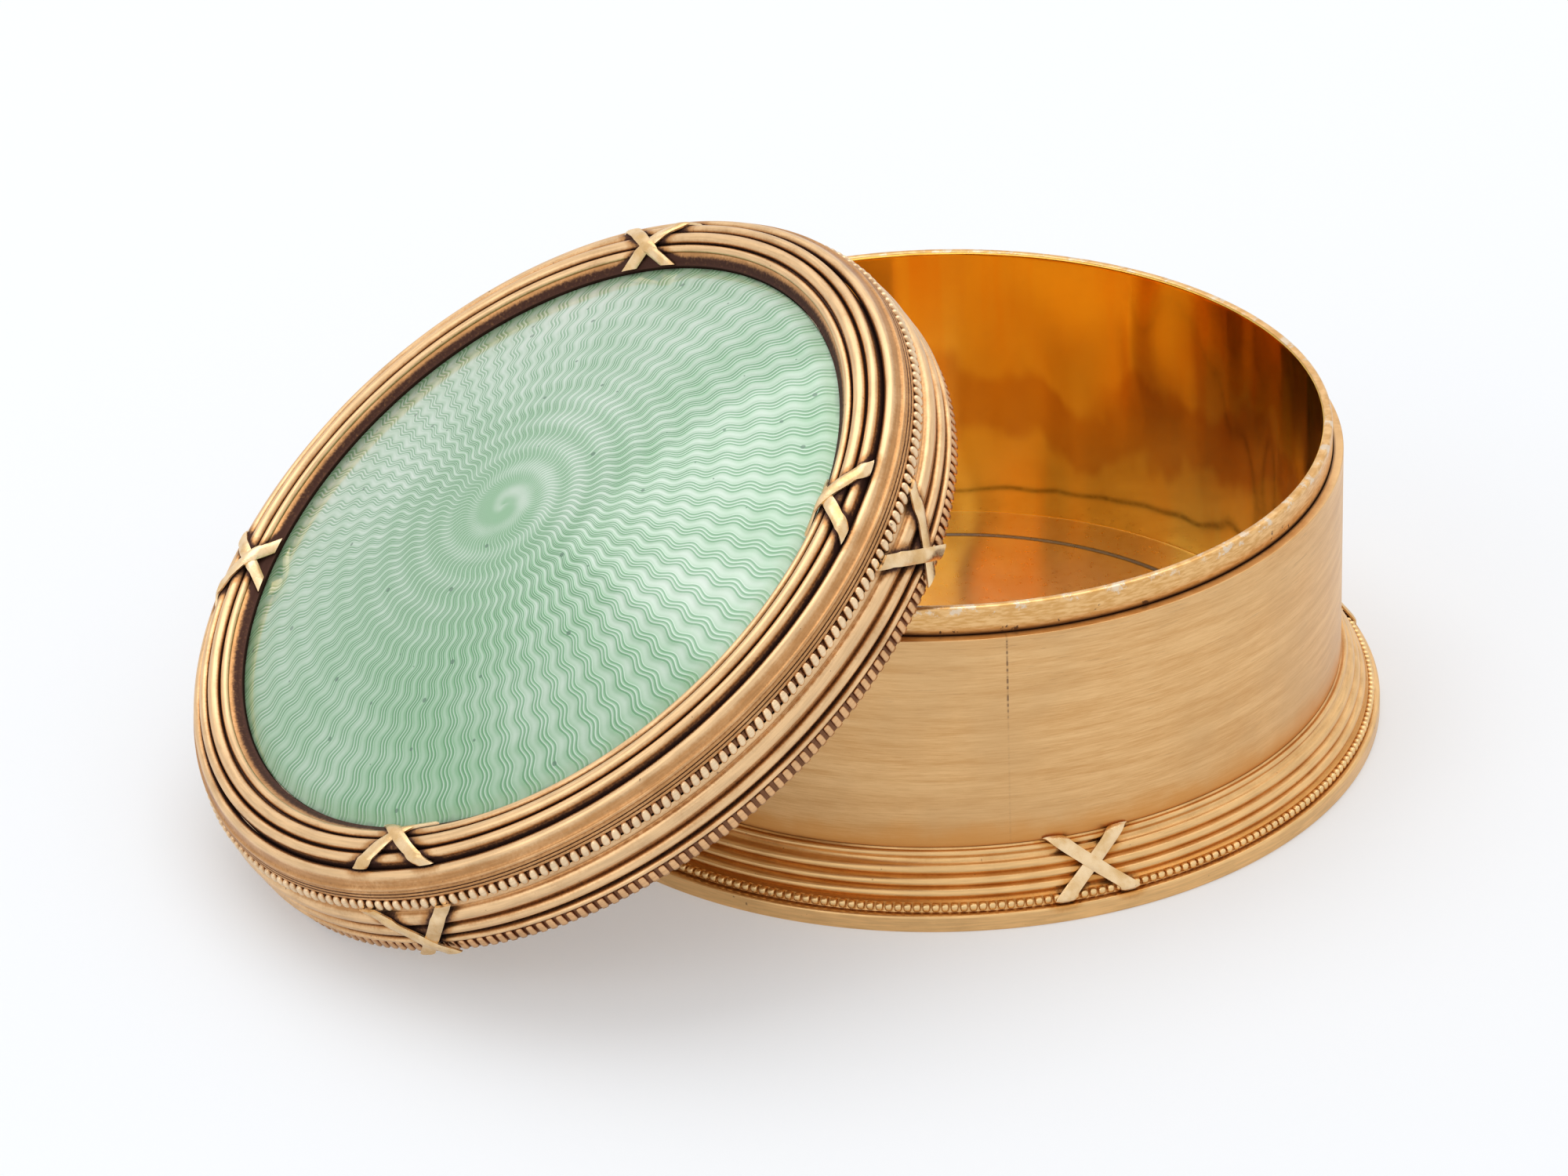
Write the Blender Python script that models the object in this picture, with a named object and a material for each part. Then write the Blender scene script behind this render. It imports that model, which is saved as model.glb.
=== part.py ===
"""Round pill box of gilt metal with a lift-off enamelled lid, at rest with its lid leaning on its rim.

The box stands on the floor, z = 0, and the origin is the centre of its flat underside. The lid is
modelled level, its lower edge at z = 0 of its own empty, and the empty then tilts it.
"""

import math

import bmesh
import bpy
from mathutils import Euler, Vector

MM = 0.001
SEGMENTS = 48  # round every turned piece, so that neighbouring facets stay parallel
SOLDER_GAP = 0.05 * MM  # between pieces that are soldered or pressed together

# Box
LINER_INNER_RADIUS = 19.42 * MM
LINER_WALL = 0.5 * MM
RIM_TOP = 16.55 * MM  # the overall height of the box
RIM_HEIGHT = 1.45 * MM  # of the liner over the body's top edge
RIM_ROUNDING = 0.12 * MM
BASE_THICKNESS = 0.8 * MM
BODY_WALL = 0.5 * MM

# Foot moulding
FOOT_REACH = 2.03 * MM  # of the flange beyond the body
FLANGE_HEIGHT = 0.9 * MM
FLANGE_CHAMFER = 0.12 * MM
FOOT_BEAD_RADIUS = 0.2 * MM
FOOT_BEAD_SETBACK = 0.5 * MM  # from the flange's edge to the beads' centres
FOOT_REED_SIZES = (0.27 * MM, 0.27 * MM, 0.3 * MM)  # from the flange up
FOOT_REED_SETBACK = 0.3 * MM  # of each reed behind the one below it
REED_STACKING = 0.9  # how far neighbouring reeds stand apart, as a share of touching
COVE_RADIUS = 0.75 * MM

# Lid
LID_FIT = 0.1 * MM  # all round, between the rim and the lid's skirt
SKIRT_WALL = 0.5 * MM
LINING_THICKNESS = 0.15 * MM
PLATE_THICKNESS = 0.15 * MM
ENAMEL_THICKNESS = 0.16 * MM
LID_BORDER = 3.18 * MM  # from the enamel's edge to the skirt's outside
DOME_HEIGHT = 2.9 * MM
DOME_STEPS = 5

# Top ring: distance out and up from the enamel's edge, and size, of each reed
TOP_REEDS = (
    (0.8 * MM, 0.56 * MM, 0.22 * MM),
    (1.44 * MM, 0.57 * MM, 0.33 * MM),
    (2.11 * MM, 0.44 * MM, 0.27 * MM),
)
TOP_RING_WIDTH = 2.43 * MM
TOP_RING_EDGE_RISE = 0.19 * MM
SHOULDER_RISE = 0.24 * MM  # both from the enamel's edge
SHOULDER_LIP = 0.5 * MM  # how far its lip hangs down over the skirt
SHOULDER_LIP_WALL = 0.13 * MM
LID_BEAD_RADIUS = 0.24 * MM

# Side band, from the lid's lower edge up
LOWER_WIRE_HEIGHT = 0.68 * MM
LOWER_WIRE_DEPTH = 0.43 * MM
SIDE_REED_HALVES = (0.2 * MM, 0.36 * MM, 0.46 * MM)
SIDE_GROOVE = 0.1 * MM
BAND_CORE = 0.33 * MM
REED_BULGE = 0.3 * MM
BEAD_SILL = 0.35 * MM  # the plain step under the upper beads

# Crossed ribbon ties
TIES = 4
RIBBON_WIDTH = 1.0 * MM
RIBBON_THICKNESS = 0.22 * MM
RIBBON_LIFT = 0.07 * MM  # of the upper ribbon over the lower one
TIE_SPREAD = 3.2 * MM  # between a ribbon's two ends, round the box
TIE_CROSSING = 0.5  # where along the ribbons they cross
TOP_TIE_CROSSING = 0.38
TOP_TIE_TOE = 0.12 * MM  # how far a top tie reaches over the shoulder moulding
FOOT_TIE_ANGLE = math.radians(-71.0)
LID_TIE_ANGLE = math.radians(37.0)

# How the lid leans
LEAN_TOWARDS = math.radians(207.5)  # from the box's axis to the lid's, seen from above
LEAN_TILT = math.radians(32.75)
FLOOR_GAP = 0.05 * MM  # from the lid to the floor
RIM_GAP = 0.06 * MM  # from the lid's lining to the rim


def stacked(first_bottom, sizes, spacing):
    """Centre heights of round sections laid one above another, and the height of the last one's top."""
    heights = []
    top = first_bottom
    for size in sizes:
        heights.append(top + size * spacing)
        top = heights[-1] + size * spacing
    return heights, top


# Radii that follow
LINER_OUTER_RADIUS = LINER_INNER_RADIUS + LINER_WALL
BODY_INNER_RADIUS = LINER_OUTER_RADIUS + SOLDER_GAP
BODY_OUTER_RADIUS = BODY_INNER_RADIUS + BODY_WALL
FLANGE_RADIUS = BODY_OUTER_RADIUS + FOOT_REACH
FOOT_BEAD_RING_RADIUS = FLANGE_RADIUS - FOOT_BEAD_SETBACK
FOOT_CHANNEL_RADIUS = FOOT_BEAD_RING_RADIUS - FOOT_BEAD_RADIUS - SOLDER_GAP
SKIRT_INNER_RADIUS = LINER_OUTER_RADIUS + LID_FIT
SKIRT_OUTER_RADIUS = SKIRT_INNER_RADIUS + SKIRT_WALL
TRIM_INNER_RADIUS = SKIRT_OUTER_RADIUS + SOLDER_GAP
LID_BEAD_RING_RADIUS = TRIM_INNER_RADIUS + LID_BEAD_RADIUS
LOWER_WIRE_RADIUS = TRIM_INNER_RADIUS + LOWER_WIRE_DEPTH
BAND_CORE_RADIUS = TRIM_INNER_RADIUS + BAND_CORE
BAND_CREST_RADIUS = BAND_CORE_RADIUS + REED_BULGE
ENAMEL_RADIUS = SKIRT_OUTER_RADIUS - LID_BORDER
TOP_RING_OUTER_RADIUS = ENAMEL_RADIUS + TOP_RING_WIDTH

# Heights that follow in the box
FOOT_BEAD_HEIGHT = FLANGE_HEIGHT + SOLDER_GAP + FOOT_BEAD_RADIUS
FOOT_CHANNEL_TOP = FOOT_BEAD_HEIGHT + FOOT_BEAD_RADIUS + SOLDER_GAP
FOOT_REED_HEIGHTS, FOOT_REEDS_TOP = stacked(FOOT_CHANNEL_TOP, FOOT_REED_SIZES, REED_STACKING)
COVE_START = 60  # degrees round the cove, from the body down to the top reed
BODY_BOTTOM = FOOT_REEDS_TOP + COVE_RADIUS * math.sin(math.radians(COVE_START))
BODY_TOP = RIM_TOP - RIM_HEIGHT

# Heights that follow in the lid
BAND_BOTTOM = LOWER_WIRE_HEIGHT + SOLDER_GAP
SIDE_REED_SPACINGS = [half + SIDE_GROOVE / 2 for half in SIDE_REED_HALVES]
SIDE_REED_HEIGHTS, SIDE_REEDS_TOP = stacked(BAND_BOTTOM, SIDE_REED_SPACINGS, 1.0)
BAND_TOP = SIDE_REEDS_TOP + BEAD_SILL
LID_BEAD_HEIGHT = BAND_TOP + SOLDER_GAP + LID_BEAD_RADIUS
LIP_BOTTOM = LID_BEAD_HEIGHT + LID_BEAD_RADIUS + SOLDER_GAP
LINING_BOTTOM = LIP_BOTTOM + SHOULDER_LIP
SKIRT_HEIGHT = LINING_BOTTOM - SOLDER_GAP
PLATE_EDGE = LINING_BOTTOM + LINING_THICKNESS + SOLDER_GAP
ENAMEL_EDGE = PLATE_EDGE + PLATE_THICKNESS + SOLDER_GAP
ENAMEL_TOP_EDGE = ENAMEL_EDGE + ENAMEL_THICKNESS
TOP_RING_EDGE = ENAMEL_TOP_EDGE + TOP_RING_EDGE_RISE
SHOULDER_TOP = ENAMEL_TOP_EDGE + SHOULDER_RISE

SATIN_GOLD = ("satin_gold", (0.64, 0.38, 0.16), 0.38, 1.0)
POLISHED_GILT = ("polished_gilt", (0.75, 0.36, 0.03), 0.12, 1.0)
RIBBON_GOLD = ("ribbon_gold", (0.74, 0.5, 0.26), 0.32, 1.0)
PLATE_SILVER = ("engraved_silver", (0.8, 0.82, 0.78), 0.25, 1.0)
ENAMEL_GREEN = ("green_enamel", (0.38, 0.62, 0.43), 0.08, 0.0)


def clear_scene():
    for old in list(bpy.data.objects):
        bpy.data.objects.remove(old)


def material_of(look):
    """The material of this look, made on its first use."""
    name, colour, roughness, metallic = look
    found = bpy.data.materials.get(name)
    if found:
        return found
    material = bpy.data.materials.new(name)
    material.use_nodes = True
    shader = material.node_tree.nodes["Principled BSDF"]
    shader.inputs["Base Color"].default_value = (*colour, 1.0)
    shader.inputs["Roughness"].default_value = roughness
    shader.inputs["Metallic"].default_value = metallic
    return material


def own_material(name, look):
    """A copy of a look for one piece, named after it."""
    material = material_of(look).copy()
    material.name = name
    return material


def object_from(mesh_builder, name, look, parent):
    mesh = bpy.data.meshes.new(name)
    mesh_builder.to_mesh(mesh)
    mesh_builder.free()
    piece = bpy.data.objects.new(name, mesh)
    bpy.context.scene.collection.objects.link(piece)
    piece.parent = parent
    piece.data.materials.append(own_material(name, look))
    return piece


def shade_round(piece):
    for face in piece.data.polygons:
        face.use_smooth = True
    piece.data.set_sharp_from_angle(angle=math.radians(40))


def turned(name, outline, look, parent):
    """A piece turned on the Z axis from a closed outline of (radius, height) points."""
    shape = bmesh.new()
    points = [shape.verts.new((radius, 0.0, height)) for radius, height in outline]
    edges = [shape.edges.new((a, b)) for a, b in zip(points, points[1:] + points[:1])]
    on_axis = [edge for edge in edges if all(vert.co.x == 0.0 for vert in edge.verts)]
    bmesh.ops.delete(shape, geom=on_axis, context="EDGES")
    bmesh.ops.spin(
        shape,
        geom=shape.verts[:] + shape.edges[:],
        cent=(0, 0, 0),
        axis=(0, 0, 1),
        angle=math.tau,
        steps=SEGMENTS,
        use_duplicate=False,
    )
    bmesh.ops.remove_doubles(shape, verts=shape.verts[:], dist=1e-7)
    bmesh.ops.recalc_face_normals(shape, faces=shape.faces[:])
    shade_round(object_from(shape, name, look, parent))


def on_circle(centre_radius, centre_height, size, angle):
    """The point of a round section at an angle in degrees: 0 faces outwards and 90 faces up."""
    turn = math.radians(angle)
    return centre_radius + size * math.cos(turn), centre_height + size * math.sin(turn)


def arc(centre_radius, centre_height, size, start, end, steps, up=None):
    """Points on an arc of an outline, from one angle in degrees to another. Up makes it an ellipse's."""
    angles = [math.radians(start + (end - start) * step / steps) for step in range(steps + 1)]
    tall = size if up is None else up
    return [(centre_radius + size * math.cos(a), centre_height + tall * math.sin(a)) for a in angles]


def bead_wire(name, ring_radius, height, bead_radius, parent):
    """The envelope of a row of beads: a ring of round wire."""
    turned(name, arc(ring_radius, height, bead_radius, 0, 300, 5), SATIN_GOLD, parent)


def make_base_plate(parent):
    outline = [
        (0.0, 0.0),
        (LINER_OUTER_RADIUS, 0.0),
        (LINER_OUTER_RADIUS, BASE_THICKNESS),
        (0.0, BASE_THICKNESS),
    ]
    turned("base_plate", outline, POLISHED_GILT, parent)


def make_liner(parent):
    bottom = BASE_THICKNESS + SOLDER_GAP
    outline = [
        (LINER_INNER_RADIUS, bottom),
        (LINER_OUTER_RADIUS, bottom),
        (LINER_OUTER_RADIUS, RIM_TOP - RIM_ROUNDING),
        (LINER_OUTER_RADIUS - RIM_ROUNDING, RIM_TOP),
        (LINER_INNER_RADIUS + RIM_ROUNDING, RIM_TOP),
        (LINER_INNER_RADIUS, RIM_TOP - RIM_ROUNDING),
    ]
    turned("liner_and_rim", outline, POLISHED_GILT, parent)


def make_body_wall(parent):
    outline = [
        (BODY_INNER_RADIUS, BODY_BOTTOM + SOLDER_GAP),
        (BODY_OUTER_RADIUS, BODY_BOTTOM + SOLDER_GAP),
        (BODY_OUTER_RADIUS, BODY_TOP - RIM_ROUNDING),
        (BODY_OUTER_RADIUS - RIM_ROUNDING, BODY_TOP),
        (BODY_INNER_RADIUS, BODY_TOP),
    ]
    turned("body_wall", outline, SATIN_GOLD, parent)


def foot_reeds():
    """Each foot reed's centre radius, centre height and size, from the flange up."""
    first = FOOT_CHANNEL_RADIUS - FOOT_REED_SIZES[0] + SOLDER_GAP
    radii = [first - FOOT_REED_SETBACK * step for step in range(len(FOOT_REED_SIZES))]
    return list(zip(radii, FOOT_REED_HEIGHTS, FOOT_REED_SIZES))


def cove_centre():
    return BODY_OUTER_RADIUS + COVE_RADIUS, BODY_BOTTOM, COVE_RADIUS


def make_foot_moulding(parent):
    outline = [
        (BODY_INNER_RADIUS, 0.0),
        (FLANGE_RADIUS - FLANGE_CHAMFER, 0.0),
        (FLANGE_RADIUS, FLANGE_CHAMFER),
        (FLANGE_RADIUS, FLANGE_HEIGHT - FLANGE_CHAMFER),
        (FLANGE_RADIUS - FLANGE_CHAMFER, FLANGE_HEIGHT),
        (FOOT_CHANNEL_RADIUS, FLANGE_HEIGHT),
    ]
    for reed in foot_reeds():
        outline += arc(*reed, -40, 70, 3)
    outline += arc(*cove_centre(), 180 + COVE_START, 180, 3)
    outline.append((BODY_INNER_RADIUS, BODY_BOTTOM))
    turned("foot_moulding", outline, SATIN_GOLD, parent)


def make_foot_bead_wire(parent):
    bead_wire("foot_bead_wire", FOOT_BEAD_RING_RADIUS, FOOT_BEAD_HEIGHT, FOOT_BEAD_RADIUS, parent)


def make_lid_skirt(parent):
    outline = [
        (SKIRT_INNER_RADIUS, 0.0),
        (SKIRT_OUTER_RADIUS, 0.0),
        (SKIRT_OUTER_RADIUS, SKIRT_HEIGHT),
        (SKIRT_INNER_RADIUS, SKIRT_HEIGHT),
    ]
    turned("lid_skirt", outline, SATIN_GOLD, parent)


def make_lid_lining(parent):
    top = LINING_BOTTOM + LINING_THICKNESS
    edge = TOP_RING_OUTER_RADIUS
    outline = [(0.0, LINING_BOTTOM), (edge, LINING_BOTTOM), (edge, top), (0.0, top)]
    turned("lid_lining", outline, POLISHED_GILT, parent)


def dome(edge_height, thickness):
    """The outline of a shallow domed shell as wide as the enamel."""
    sphere_radius = (ENAMEL_RADIUS**2 + DOME_HEIGHT**2) / (2 * DOME_HEIGHT)
    radii = [ENAMEL_RADIUS * step / DOME_STEPS for step in range(DOME_STEPS + 1)]
    rise = [math.sqrt(sphere_radius**2 - r**2) - sphere_radius + DOME_HEIGHT for r in radii]
    under = [(r, edge_height + h) for r, h in zip(radii, rise)]
    over = [(r, edge_height + thickness + h) for r, h in zip(radii, rise)]
    return under + over[::-1]


def make_guilloche_plate(parent):
    turned("guilloche_plate", dome(PLATE_EDGE, PLATE_THICKNESS), PLATE_SILVER, parent)


def make_enamel(parent):
    turned("enamel_disc", dome(ENAMEL_EDGE, ENAMEL_THICKNESS), ENAMEL_GREEN, parent)


def top_reeds():
    """Each top reed's centre radius, centre height and size, from the enamel outwards."""
    return [(ENAMEL_RADIUS + out, ENAMEL_TOP_EDGE + up, size) for out, up, size in TOP_REEDS]


def make_top_ring(parent):
    inner = ENAMEL_RADIUS + SOLDER_GAP
    outer = TOP_RING_OUTER_RADIUS
    outline = [(inner, PLATE_EDGE), (outer, PLATE_EDGE), (outer, TOP_RING_EDGE)]
    for reed in reversed(top_reeds()):
        outline += arc(*reed, 10, 170, 3)
    outline.append((inner, ENAMEL_TOP_EDGE))
    turned("lid_top_ring", outline, SATIN_GOLD, parent)


def make_shoulder_moulding(parent):
    inner = TOP_RING_OUTER_RADIUS + SOLDER_GAP
    outer = TRIM_INNER_RADIUS + SHOULDER_LIP_WALL
    outline = [
        (inner, LINING_BOTTOM),
        (TRIM_INNER_RADIUS, LINING_BOTTOM),
        (TRIM_INNER_RADIUS, LIP_BOTTOM),
        (outer, LIP_BOTTOM),
        (outer, LINING_BOTTOM),
    ]
    across = outer - SOLDER_GAP - inner
    outline += arc(inner, LINING_BOTTOM, across, 5, 90, 4, up=SHOULDER_TOP - LINING_BOTTOM)
    turned("lid_shoulder_moulding", outline, SATIN_GOLD, parent)


def make_lid_bead_wire(parent):
    bead_wire("lid_bead_wire", LID_BEAD_RING_RADIUS, LID_BEAD_HEIGHT, LID_BEAD_RADIUS, parent)


def make_side_band(parent):
    outline = [
        (TRIM_INNER_RADIUS, BAND_TOP),
        (TRIM_INNER_RADIUS, BAND_BOTTOM),
        (BAND_CORE_RADIUS, BAND_BOTTOM),
    ]
    for height, half in zip(SIDE_REED_HEIGHTS, SIDE_REED_HALVES):
        outline += arc(BAND_CORE_RADIUS, height, REED_BULGE, -80, 80, 3, up=half)
    outline.append((BAND_CORE_RADIUS, BAND_TOP))
    turned("lid_side_band", outline, SATIN_GOLD, parent)


def make_lower_wire(parent):
    outline = [
        (TRIM_INNER_RADIUS, 0.0),
        (LOWER_WIRE_RADIUS, 0.0),
        (LOWER_WIRE_RADIUS, LOWER_WIRE_HEIGHT),
        (TRIM_INNER_RADIUS, LOWER_WIRE_HEIGHT),
    ]
    turned("lid_lower_wire", outline, SATIN_GOLD, parent)


def outward_normals(path):
    """Unit normals of a path of (radius, height) points that runs down or outwards."""
    normals = []
    for index in range(len(path)):
        before = path[max(index - 1, 0)]
        after = path[min(index + 1, len(path) - 1)]
        along = Vector((after[0] - before[0], after[1] - before[1])).normalized()
        normals.append(Vector((-along.y, along.x)))
    return normals


def ribbon(name, path, middle_angle, crossing, lean, lift, parent):
    """One band laid slantwise over a moulding's crests. It leans one way or the other round the box."""
    shape = bmesh.new()
    rings = []
    for index, ((radius, height), normal) in enumerate(zip(path, outward_normals(path))):
        shift = lean * TIE_SPREAD * (index / (len(path) - 1) - crossing)
        corners = []
        for side, depth in ((-0.5, 0.0), (0.5, 0.0), (0.5, RIBBON_THICKNESS), (-0.5, RIBBON_THICKNESS)):
            away = lift + depth
            angle = middle_angle + (shift + side * RIBBON_WIDTH) / radius
            out = radius + normal.x * away
            corners.append(
                shape.verts.new((out * math.cos(angle), out * math.sin(angle), height + normal.y * away))
            )
        rings.append(corners)
    for one, two in zip(rings, rings[1:]):
        for a in range(4):
            b = (a + 1) % 4
            shape.faces.new((one[a], one[b], two[b], two[a]))
    shape.faces.new(rings[0])
    shape.faces.new(rings[-1])
    bmesh.ops.triangulate(shape, faces=shape.faces[:])
    bmesh.ops.recalc_face_normals(shape, faces=shape.faces[:])
    return object_from(shape, name, RIBBON_GOLD, parent)


def make_tie(name, path, angle, crossing, parent):
    """A crossed pair of ribbons, joined where they cross."""
    tie = ribbon(name, path, angle, crossing, 1, SOLDER_GAP, parent)
    other = ribbon(name + "_upper_ribbon", path, angle, crossing, -1, SOLDER_GAP + RIBBON_LIFT, parent)
    other.hide_render = True
    other.display_type = "WIRE"
    union = tie.modifiers.new("crossing", "BOOLEAN")
    union.operation = "UNION"
    union.solver = "EXACT"
    union.object = other


def make_ties(label, path, first_angle, crossing, parent):
    for number in range(TIES):
        angle = first_angle + math.tau * number / TIES
        make_tie(f"{label}_{number + 1}", path, angle, crossing, parent)


def foot_tie_path():
    """What a foot tie lies on: the cove, the reeds' crests and the beads."""
    path = [on_circle(*cove_centre(), 210)]
    path += [on_circle(*reed, 42) for reed in reversed(foot_reeds())]
    path.append(on_circle(FOOT_BEAD_RING_RADIUS, FOOT_BEAD_HEIGHT, FOOT_BEAD_RADIUS, 15))
    return path


def top_tie_path():
    """What a top tie lies on: the bevel round the enamel and the crests of the top ring's reeds."""
    inner_reed, middle_reed, outer_reed = top_reeds()
    bevel_foot = Vector((ENAMEL_RADIUS + SOLDER_GAP, ENAMEL_TOP_EDGE))
    path = [bevel_foot.lerp(Vector(on_circle(*inner_reed, 170)), 0.5)]
    path += [on_circle(*inner_reed, 135), on_circle(*inner_reed, 90), on_circle(*middle_reed, 90)]
    path += [on_circle(*outer_reed, 75), on_circle(*outer_reed, 35)]
    path.append((TOP_RING_OUTER_RADIUS + TOP_TIE_TOE, SHOULDER_TOP + TOP_TIE_TOE / 2))
    return path


def side_tie_path():
    """What a side tie lies on: the upper beads and the crests of the side band's reeds."""
    path = [(LID_BEAD_RING_RADIUS + LID_BEAD_RADIUS, LID_BEAD_HEIGHT)]
    path += [(BAND_CREST_RADIUS, height) for height in reversed(SIDE_REED_HEIGHTS)]
    path.append((BAND_CREST_RADIUS, LOWER_WIRE_HEIGHT / 2))
    return path


def lid_height_over_floor():
    """The height of the tilted lid's own origin, with its lowest edge just clear of the floor."""
    tie_face = BAND_CREST_RADIUS + SOLDER_GAP + RIBBON_LIFT + RIBBON_THICKNESS
    low_points = [
        (LOWER_WIRE_RADIUS, 0.0),
        (BAND_CREST_RADIUS, SIDE_REED_HEIGHTS[0]),
        (tie_face, LOWER_WIRE_HEIGHT / 2),
    ]
    sine, cosine = math.sin(LEAN_TILT), math.cos(LEAN_TILT)
    return FLOOR_GAP - min(height * cosine - radius * sine for radius, height in low_points)


def lid_distance(height):
    """How far the lid's origin stands from the box's axis, when its lining or its skirt meets the rim."""
    rise = RIM_TOP - height
    lining = LINING_BOTTOM - RIM_GAP
    to_lining = LINER_OUTER_RADIUS + (rise * math.cos(LEAN_TILT) - lining) / math.sin(LEAN_TILT)
    # Where the rim crosses the lid's open side, it must fall inside the skirt.
    across = (SKIRT_INNER_RADIUS - RIM_GAP) ** 2 - (rise / math.sin(LEAN_TILT)) ** 2
    chord = math.sqrt(max(LINER_OUTER_RADIUS**2 - across, 0.0))
    to_skirt = chord + rise / math.tan(LEAN_TILT)
    return max(to_lining, to_skirt)


def leaning_lid_frame():
    """An empty that tilts the level lid. Its lower edge meets the floor and its hollow meets the rim."""
    height = lid_height_over_floor()
    distance = lid_distance(height)
    frame = bpy.data.objects.new("lid_frame", None)
    bpy.context.scene.collection.objects.link(frame)
    frame.location = (distance * math.cos(LEAN_TOWARDS), distance * math.sin(LEAN_TOWARDS), height)
    frame.rotation_euler = Euler((0.0, LEAN_TILT, LEAN_TOWARDS), "XYZ")
    return frame


def make_box():
    frame = bpy.data.objects.new("box_frame", None)
    bpy.context.scene.collection.objects.link(frame)
    make_base_plate(frame)
    make_liner(frame)
    make_body_wall(frame)
    make_foot_moulding(frame)
    make_foot_bead_wire(frame)
    make_ties("foot_tie", foot_tie_path(), FOOT_TIE_ANGLE, TIE_CROSSING, frame)


def make_lid():
    frame = leaning_lid_frame()
    make_lid_skirt(frame)
    make_lid_lining(frame)
    make_guilloche_plate(frame)
    make_enamel(frame)
    make_top_ring(frame)
    make_shoulder_moulding(frame)
    make_lid_bead_wire(frame)
    make_side_band(frame)
    make_lower_wire(frame)
    make_ties("lid_top_tie", top_tie_path(), LID_TIE_ANGLE, TOP_TIE_CROSSING, frame)
    make_ties("lid_side_tie", side_tie_path(), LID_TIE_ANGLE, TIE_CROSSING, frame)


clear_scene()
make_box()
make_lid()
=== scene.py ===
"""A round pill box of gilt metal, open, with its domed green enamelled lid leaning on its rim.

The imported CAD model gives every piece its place. The box stands on the floor with its axis up
through the origin. The lid's pieces are made level, in the lid's own frame, whose origin is the
centre of its lower edge.
"""

import math

import bmesh
import bpy
import numpy as np
from mathutils import Euler, Matrix, Vector
from mathutils.bvhtree import BVHTree


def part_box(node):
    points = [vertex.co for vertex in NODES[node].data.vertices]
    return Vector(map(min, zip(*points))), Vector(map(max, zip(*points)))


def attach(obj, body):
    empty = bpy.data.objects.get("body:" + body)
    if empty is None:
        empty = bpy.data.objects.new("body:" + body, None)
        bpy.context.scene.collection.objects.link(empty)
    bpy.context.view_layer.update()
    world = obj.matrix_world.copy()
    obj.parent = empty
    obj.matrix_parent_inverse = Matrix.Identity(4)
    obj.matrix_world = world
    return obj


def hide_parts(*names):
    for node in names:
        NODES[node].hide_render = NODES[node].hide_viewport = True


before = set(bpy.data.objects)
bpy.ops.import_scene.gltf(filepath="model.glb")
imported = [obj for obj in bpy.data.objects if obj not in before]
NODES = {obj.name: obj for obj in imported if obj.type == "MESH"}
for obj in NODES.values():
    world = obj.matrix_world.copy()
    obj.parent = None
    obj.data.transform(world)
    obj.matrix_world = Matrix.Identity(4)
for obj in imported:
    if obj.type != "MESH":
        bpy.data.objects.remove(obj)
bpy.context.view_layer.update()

MM = 0.001
TURNS = 360  # segments round a turned piece
FINE_TURNS = 480  # round one that lies under the ties
TIES = 4

# ---------------------------------------------------------------- frame


def lid_matrix():
    """Where the level lid's frame stands: its axis is square to the lining, and z = 0 is its lower edge."""
    lining = NODES["lid_lining"].data
    axis = max((polygon.normal for polygon in lining.polygons), key=lambda normal: normal.z)
    low, high = (Vector(corner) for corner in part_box("lid_lining"))
    centre = (low + high) / 2
    bottom = min((vertex.co - centre).dot(axis) for vertex in NODES["lid_skirt"].data.vertices)
    tilt = math.acos(axis.z)
    towards = math.atan2(axis.y, axis.x)
    return Matrix.LocRotScale(centre + axis * bottom, Euler((0.0, tilt, towards), "XYZ"), None)


LID = lid_matrix()
BOX = Matrix.Identity(4)
PLACES = {"box": BOX, "lid": LID}


class Extent:
    """How far a turned CAD node reaches from its axis, and up it, in its own frame."""

    def __init__(self, node, place):
        inverse = place.inverted()
        points = [inverse @ vertex.co for vertex in NODES[node].data.vertices]
        radii = [math.hypot(point.x, point.y) for point in points]
        self.inner, self.outer = min(radii), max(radii)
        self.low = min(point.z for point in points)
        self.high = max(point.z for point in points)
        self.middle = (self.low + self.high) / 2


liner = Extent("liner_and_rim", BOX)
wall = Extent("body_wall", BOX)
plate = Extent("base_plate", BOX)
foot = Extent("foot_moulding", BOX)
foot_wire = Extent("foot_bead_wire", BOX)
skirt = Extent("lid_skirt", LID)
lining = Extent("lid_lining", LID)
enamel = Extent("enamel_disc", LID)
top_ring = Extent("lid_top_ring", LID)
shoulder = Extent("lid_shoulder_moulding", LID)
lid_wire = Extent("lid_bead_wire", LID)
band = Extent("lid_side_band", LID)
low_wire = Extent("lid_lower_wire", LID)

# ---------------------------------------------------------------- sizes

FOOT_BEADS = 302
LID_BEADS = 231  # in the round row and in the square one
FOOT_BEAD_SIZE = (foot_wire.high - foot_wire.low) / 2
FOOT_BEAD_RING = foot_wire.outer - FOOT_BEAD_SIZE
LID_BEAD_SIZE = (lid_wire.high - lid_wire.low) / 2
LID_BEAD_RING = lid_wire.outer - LID_BEAD_SIZE

ENAMEL_THICKNESS = 0.16 * MM
DOME_HEIGHT = enamel.high - enamel.low - ENAMEL_THICKNESS
ENAMEL_EDGE = enamel.low + ENAMEL_THICKNESS  # the height of the enamel's upper edge

# The foot's reeds: distance inside the flange's edge, height over the flange and size of each
FLANGE_HEIGHT = 0.9 * MM
FOOT_REEDS = (
    (1.0 * MM, 0.76 * MM, 0.25 * MM),
    (1.28 * MM, 1.24 * MM, 0.25 * MM),
    (1.6 * MM, 1.76 * MM, 0.28 * MM),
)
FOOT_FILLET = (1.86 * MM, 2.48 * MM, 0.17 * MM)

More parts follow.
